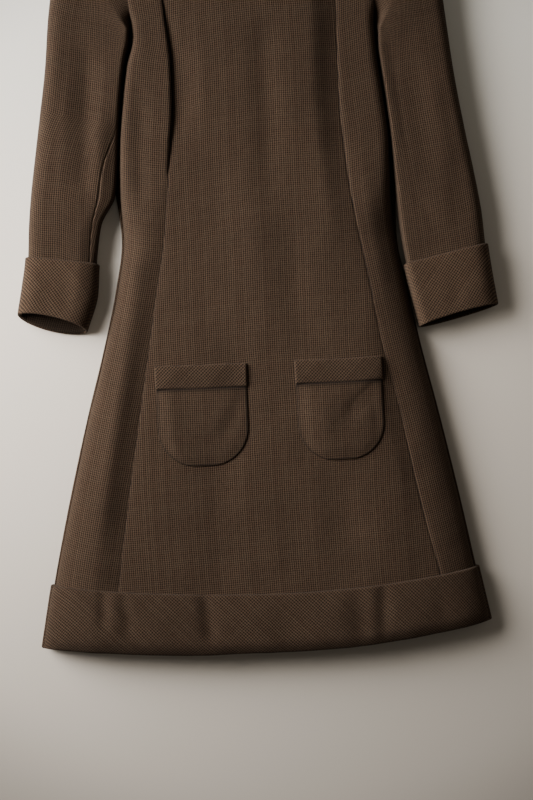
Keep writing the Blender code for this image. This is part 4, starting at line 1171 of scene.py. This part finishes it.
def make_pocket(pocket, material):
    depth = pocket.top_y - pocket.bottom_y
    straight = depth - pocket.corner
    top = POCKET_BAND_HEIGHT + 2 * SEAM
    downs = list(np.linspace(top, straight, 22))
    halves = [pocket.half_width] * len(downs)
    for angle in np.linspace(0, math.pi / 2, 28)[1:]:
        downs.append(straight + pocket.corner * math.sin(angle))
        halves.append(pocket.half_width - pocket.corner * (1 - math.cos(angle)))
    inner_shares = np.linspace(-0.955, 0.955, 38)
    across = np.concatenate([[-1, -0.994, -0.978], inner_shares, [0.978, 0.994, 1]])[None]
    half = np.array(halves)[:, None]
    down = np.array(downs)[:, None] + 0 * across
    x, y = pocket_places(pocket, across * half, -down)
    base, normals = on_front(x, y)
    # how far each point is from the sewn outline
    into = np.maximum(down - straight, 0.0) / pocket.corner
    beside = (1 - np.abs(across)) * half * np.maximum(1 - into**2, 0.0) ** 0.25
    edge = np.minimum(beside, depth - down)
    wall = POCKET_WALL * mix(*POCKET_KEPT, rounded(edge, POCKET_EDGE_ROUND))
    stands = POCKET_STANDS + POCKET_WAVE * unevenness(x * 1.9, y * 1.9)
    stands = (stands - fold_depth(POCKET_FOLDS, x, y)) * smooth(0.0, POCKET_STANDS_FROM, edge)
    lift = np.maximum(stands, 0.0) + LAY_GAP
    inside = base + normals * lift[..., None]
    outside = base + normals * (lift + wall)[..., None]
    grain = np.stack([across * half, -down], 2)
    # painted shade along the pocket's sewn outline and under its band, where shade falls, capped
    painted_shade = painted_seam_shade(edge, *POCKET_OUTLINE_SHADE) + painted_seam_shade(down - top, *MOUTH_SHADE)
    painted_shade = np.minimum(painted_shade, SHADE_MOST)
    name = "pocket_%s_cloth" % pocket.suffix
    return shell(name, outside, inside, grain, material, painted_shade=painted_shade)


def make_pocket_band(pocket, material):
    half = pocket.half_width + POCKET_BAND_OVERHANG
    near = np.array([0.0, 0.0003, 0.0008, 0.0015, 0.0024])
    even = np.linspace(-half + 0.005, half - 0.005, 36)
    places = np.concatenate([-half + near, even, half - near[::-1]])
    distances = band_distances(POCKET_BAND_HEIGHT)
    down = distances[:, None] + MOUTH_SAG * (1 - (places / half) ** 2)
    x, y = pocket_places(pocket, places + 0 * down, -down)
    base, normals = on_front(x, y)
    puff = puffed(MOUTH_PUFF, distances) + MOUTH_WAVE * unevenness(x * 2.3, y * 2.3 + 1)
    ends = end_shares(places + half, half - places)
    name, middle = "pocket_band_%s_cloth" % pocket.suffix, len(places) // 2
    return folded_band(name, material, base, normals, distances, MOUTH_WALL, puff, middle, ends)


# ---- materials ----
class Net:
    """A material's nodes, made with short calls. A value is a socket, a number or a colour."""

    def __init__(self, name):
        self.material = bpy.data.materials.new(name)
        self.material.use_nodes = True
        self.tree = self.material.node_tree
        self.shader = self.tree.nodes["Principled BSDF"]

    def put(self, socket, value):
        if isinstance(value, bpy.types.NodeSocket):
            self.tree.links.new(value, socket)
        else:
            socket.default_value = value

    def node(self, kind, output=0, settings=(), **inputs):
        node = self.tree.nodes.new("ShaderNode" + kind)
        for key, value in dict(settings).items():
            setattr(node, key, value)
        for key, value in inputs.items():
            self.put(node.inputs[key.replace("_", " ")], value)
        return node.outputs[output]

    def math(self, operation, a, b=0.0, c=0.0):
        node = self.tree.nodes.new("ShaderNodeMath")
        node.operation = operation
        for socket, value in zip(node.inputs, (a, b, c)):
            self.put(socket, value)
        return node.outputs[0]

    def times(self, *values):
        return functools.reduce(lambda a, b: self.math("MULTIPLY", a, b), values)

    def blend(self, factor, a, b, kind="MIX"):
        """A mix of two colours."""
        node = self.tree.nodes.new("ShaderNodeMix")
        node.data_type, node.blend_type = "RGBA", kind
        sockets = [s for s in node.inputs if s.enabled]
        for socket, value in zip(sockets, (factor, a, b)):
            self.put(socket, value)
        return next(s for s in node.outputs if s.enabled)

    def noise(self, scale, place, detail=2.0, roughness=0.5, output=0):
        return self.node(
            "TexNoise", output, Vector=place, Scale=scale, Detail=detail, Roughness=roughness
        )

    def ranged(self, value, low, high):
        """A value from 0 to 1 brought into another range."""
        return self.math("MULTIPLY_ADD", value, high - low, low)

    def shaded(self, colour, value):
        """A colour times a value."""
        grey = self.node("CombineColor", Red=value, Green=value, Blue=value)
        return self.blend(1.0, colour, grey, "MULTIPLY")

    def finish(self, roughness, specular, **others):
        """Set the shader's other inputs."""
        others.update(Roughness=roughness, Specular_IOR_Level=specular)
        for key, value in others.items():
            self.put(self.shader.inputs[key.replace("_", " ")], value)
        return self.material


YARN = 0.00072  # from one yarn to the next. Two dark ones and two light ones make one check
BIAS_YARN = 0.00079  # the same where the bias is drawn open
YARNS_STRAY = 2.4  # yarns
YARN_RISE, NAP_RISE = 0.00016, 0.0010
FULL_SHADE_LEFT = 0.12  # how much of the colour is left under the darkest painted shade
DARK_YARN = (0.0045, 0.0024, 0.0013, 1)
LIGHT_WARP = (0.088, 0.058, 0.0370, 1)
LIGHT_WEFT = (0.056, 0.037, 0.0235, 1)
RUST_YARN = (0.040, 0.0175, 0.0095, 1)


def wool(name, yarn, brightness):
    """Two-tone wool in a plain weave, two yarns dark and two light both ways."""
    net = Net(name)
    grain = net.node("UVMap", settings={"uv_map": "grain"})
    place = net.node("TexCoord", 3)
    drift = net.node("SeparateXYZ", 0, Vector=net.noise(45.0, grain, 2.0, output=1))
    parts = net.node("SeparateXYZ", 0, Vector=grain)

    def across_yarns(k):
        """The place across one set of yarns, in yarns, with each yarn straying a little."""
        strays = net.math("SUBTRACT", drift.node.outputs[k], 0.5)
        place = net.math("DIVIDE", parts.node.outputs[k], yarn)
        return net.math("ADD", place, net.times(strays, YARNS_STRAY))

    def light_yarn(yarn_number):
        return net.math("GREATER_THAN", net.math("FLOORED_MODULO", yarn_number, 4.0), 1.5)

    def own_tone(yarn_number):
        return net.node("TexWhiteNoise", settings={"noise_dimensions": "1D"}, W=yarn_number)

    u, v = across_yarns(0), across_yarns(1)
    warp, weft = net.math("FLOOR", u), net.math("FLOOR", v)
    over = net.math("LESS_THAN", net.math("FLOORED_MODULO", net.math("ADD", warp, weft), 2.0), 0.5)
    warp_light = net.times(over, light_yarn(warp))
    weft_light = net.times(net.math("SUBTRACT", 1.0, over), light_yarn(weft))
    is_light = net.math("ADD", warp_light, weft_light)
    # each yarn is a little lighter or darker, and so is each stretch of it
    own = net.blend(over, own_tone(net.math("ADD", weft, 0.37)), own_tone(warp))
    spot = net.noise(560.0, grain, 2.0, 0.6)
    light = net.blend(over, LIGHT_WEFT, LIGHT_WARP)
    light = net.blend(net.ranged(own, 0.0, 0.55), light, RUST_YARN)
    colour = net.blend(is_light, DARK_YARN, light)
    fibres = net.noise(5200.0, grain, 2.0, 0.7)
    patch = net.noise(26.0, place, 3.0, 0.6)
    cloud = net.noise(7.0, place, 2.0, 0.5)
    value = net.times(net.ranged(spot, 0.40, 1.60), net.ranged(fibres, 0.62, 1.38))
    value = net.times(value, net.ranged(patch, 0.86, 1.14), net.ranged(cloud, 0.90, 1.10))
    value = net.times(value, brightness)
    # painted shade: the attribute darkens the colour in seams, on ledge walls, along the pockets
    # and inside the sleeves
    painted_shade = net.node("Attribute", 2, {"attribute_name": "painted_shade"})
    colour = net.shaded(colour, net.times(value, net.ranged(painted_shade, 1.0, FULL_SHADE_LEFT)))
    # the top yarn's round back, and loose fibres
    across = net.blend(over, net.math("FRACT", v), net.math("FRACT", u))
    back = net.math("SINE", net.times(across, math.pi))
    height = net.math("ADD", net.times(back, 0.8), net.times(fibres, 0.35))
    height = net.math("ADD", height, net.times(spot, 0.3))
    bump = net.node("Bump", Height=height, Strength=0.55, Distance=YARN_RISE)
    return net.finish(
        net.ranged(fibres, 0.86, 0.98),
        0.10,
        Base_Color=colour,
        Normal=net.node("Bump", Height=patch, Strength=0.35, Distance=NAP_RISE, Normal=bump),
        Sheen_Weight=0.04,
        Sheen_Roughness=0.55,
        Sheen_Tint=(0.85, 0.72, 0.60, 1),
    )


SURFACE = (0.668, 0.604, 0.526, 1)
FAR_SURFACE = (0.668, 0.655, 0.600, 1)
# the middle of the painted ring of shade
PAINTED_POOL_MIDDLE = (0.04, -0.153)
PAINTED_LIGHT_SLOPE_X, PAINTED_LIGHT_SLOPE_Y = -0.82, 0.65  # how fast the painted light changes, to a metre
PAINTED_LIGHT_ENDS = (-0.8, 0.24)
PAINTED_SHADE_RADII, PAINTED_SHADE_SHARE = (0.56, 0.74), 0.70  # painted shade: the board darkens between these radii, to this share
FAR_STARTS_Y = (-0.1, 0.45)
BOARD_RISE = 0.0004


def pale_surface():
    """The matt board that the dress lies on, with painted light: paler towards its far left corner,
    darker beyond a ring round the dress.
    """
    net = Net("pale_surface")
    place = net.node("TexCoord", 3)
    wide, fine = net.noise(1.3, place, 3.0), net.noise(420.0, place, 3.0, 0.6)
    x = net.node("SeparateXYZ", 0, Vector=place)
    y = x.node.outputs[1]
    # painted light: the board is paler towards its far left, as if lit from there
    fade = net.math("MULTIPLY_ADD", y, PAINTED_LIGHT_SLOPE_Y, net.times(x, PAINTED_LIGHT_SLOPE_X))
    darkest, palest = PAINTED_LIGHT_ENDS
    fade = net.math("EXPONENT", net.math("MINIMUM", net.math("MAXIMUM", fade, darkest), palest))
    # painted shade: darker beyond a ring round the dress
    off_x = net.math("SUBTRACT", x, PAINTED_POOL_MIDDLE[0])
    off_y = net.math("SUBTRACT", y, PAINTED_POOL_MIDDLE[1])
    out = net.math("SQRT", net.math("MULTIPLY_ADD", off_x, off_x, net.times(off_y, off_y)))
    inner, outer = PAINTED_SHADE_RADII
    corner = net.node(
        "MapRange",
        settings={"interpolation_type": "SMOOTHSTEP"},
        Value=out,
        From_Min=inner,
        From_Max=outer,
        To_Min=1.0,
        To_Max=PAINTED_SHADE_SHARE,
    )
    tone = net.times(net.ranged(wide, 0.97, 1.03), net.ranged(fine, 0.985, 1.015))
    # with the painted light, the tint turns greyer towards the far side
    near, beyond = FAR_STARTS_Y
    far = net.node("MapRange", Value=y, From_Min=near, From_Max=beyond)
    colour = net.blend(far, SURFACE, FAR_SURFACE)
    return net.finish(
        0.75,
        0.25,
        Base_Color=net.shaded(colour, net.times(tone, net.times(fade, corner))),
        Normal=net.node("Bump", Height=fine, Strength=0.08, Distance=BOARD_RISE),
    )


# ---- the dress ----
# Each piece of cloth as cut: what it replaces, what it lies on, and its flat size.
Cut = namedtuple("Cut", "node slot width length area rests_on")
FLOOR, BACKS = ("floor",), ("back_left_cloth", "back_right_cloth")
CENTRE = ("front_centre_cloth",)
CUTS = rows_of(
    Cut,
    ("front_centre", "wool", 0.48, 1.02, 0.33, BACKS),
    ("side_front_left", "wool", 0.13, 1.02, 0.094, BACKS),
    ("side_front_right", "wool", 0.13, 1.02, 0.081, BACKS),
    ("back_left", "wool", 0.32, 1.05, 0.23, FLOOR),
    ("back_right", "wool", 0.32, 1.05, 0.23, FLOOR),
    ("top_sleeve_left", "wool", 0.16, 0.58, 0.071, ("under_sleeve_left_cloth",)),
    ("under_sleeve_left", "wool", 0.16, 0.58, 0.064, FLOOR),
    ("top_sleeve_right", "wool", 0.16, 0.58, 0.073, ("under_sleeve_right_cloth",)),
    ("under_sleeve_right", "wool", 0.16, 0.58, 0.059, FLOOR),
    ("cuff_left", "wool_bias", 0.22, 0.18, 0.0396, FLOOR),
    ("cuff_right", "wool_bias", 0.24, 0.18, 0.0432, FLOOR),
    ("hem_band_front", "wool_bias", 0.64, 0.17, 0.106, BACKS),
    ("hem_band_back", "wool_bias", 0.62, 0.17, 0.097, FLOOR),
    ("pocket_left", "wool", 0.121, 0.104, 0.0118, CENTRE),
    ("pocket_right", "wool", 0.115, 0.104, 0.0112, CENTRE),
    ("pocket_band_left", "wool_bias", 0.123, 0.062, 0.0074, CENTRE),
    ("pocket_band_right", "wool_bias", 0.117, 0.062, 0.0070, CENTRE),
)


def make_dress():
    straight = wool("wool_cloth", YARN, 1.0)
    bias = wool("wool_bias_cloth", BIAS_YARN, 0.95)
    drawn = wool("wool_cuff_cloth", BIAS_YARN, 1.2)  # the turned cuffs show more of the light yarn
    pieces = [make_front_centre(straight), make_hem_front(bias), make_hem_back(bias)]
    for side, suffix in ((-1, "left"), (1, "right")):
        pieces += [make_side_front(side, suffix, straight), make_back(side, suffix, straight)]
        pieces += make_sleeve(side, suffix, straight)
        pieces.append(make_cuff(side, suffix, drawn))
    for pocket in POCKETS:
        pieces += [make_pocket(pocket, straight), make_pocket_band(pocket, bias)]
    for piece in pieces:
        cut = next(cut for cut in CUTS if piece.name == cut.node + "_cloth")
        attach(piece, "root")
        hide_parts(cut.node)
        list(cut.rests_on)
        min(cut.area, cut.width * cut.length)


# ---- the surface, the light and the camera ----
FLOOR_HALF = 4.0
FLOOR_Z = -0.0006
IMAGE_ROLL = math.radians(1.76)  # the dress lies turned by this much in the picture
CAMERA_PLACE = (0.006, -0.193, 2.22)
SENSOR_MM, LENS_MM = 36.0, 73.3


def make_floor():
    mesh = bpy.data.meshes.new("floor")
    h = FLOOR_HALF
    corners = [(-h, -h, FLOOR_Z), (h, -h, FLOOR_Z), (h, h, FLOOR_Z), (-h, h, FLOOR_Z)]
    mesh.from_pydata(corners, [], [(0, 1, 2, 3)])
    mesh.materials.append(pale_surface())
    floor = bpy.data.objects.new("floor", mesh)
    bpy.context.scene.collection.objects.link(floor)


Lamp = namedtuple("Lamp", "name place aim size watts spread colour")
LAMPS = rows_of(
    Lamp,
    ("key", (-1.157, 0.397, 0.771), (0.771, -0.455, 0.0), 1.15, 29.3, 84, (1.0, 0.972, 0.94)),
    ("fill", (1.4, 0.3, 1.2), (0.1, -0.2, 0.0), 1.2, 1.5, 150, (1.0, 0.93, 0.82)),
)
WORLD_COLOUR, WORLD_STRENGTH = (1.0, 0.93, 0.82, 1), 0.125


def add_area_light(lamp):
    light = bpy.data.lights.new(lamp.name, "AREA")
    light.shape, light.size, light.size_y = "RECTANGLE", lamp.size, lamp.size
    light.energy, light.color = lamp.watts, lamp.colour
    light.spread = math.radians(lamp.spread)
    thing = bpy.data.objects.new(lamp.name, light)
    bpy.context.scene.collection.objects.link(thing)
    place = Vector(lamp.place)
    turn = (Vector(lamp.aim) - place).to_track_quat("-Z", "Y")
    thing.matrix_world = Matrix.LocRotScale(place, turn, None)


def light_and_camera():
    for lamp in LAMPS:
        add_area_light(lamp)
    world = bpy.data.worlds.new("studio")
    bpy.context.scene.world = world
    world.use_nodes = True
    background = world.node_tree.nodes["Background"]
    background.inputs["Color"].default_value = WORLD_COLOUR
    background.inputs["Strength"].default_value = WORLD_STRENGTH
    camera = bpy.data.cameras.new("camera")
    camera.sensor_width, camera.lens = SENSOR_MM, LENS_MM
    eye = bpy.data.objects.new("camera", camera)
    eye.location = CAMERA_PLACE
    eye.rotation_euler = (0.0, 0.0, -IMAGE_ROLL)
    bpy.context.scene.collection.objects.link(eye)
    bpy.context.scene.camera = eye


make_dress()
make_floor()
light_and_camera()
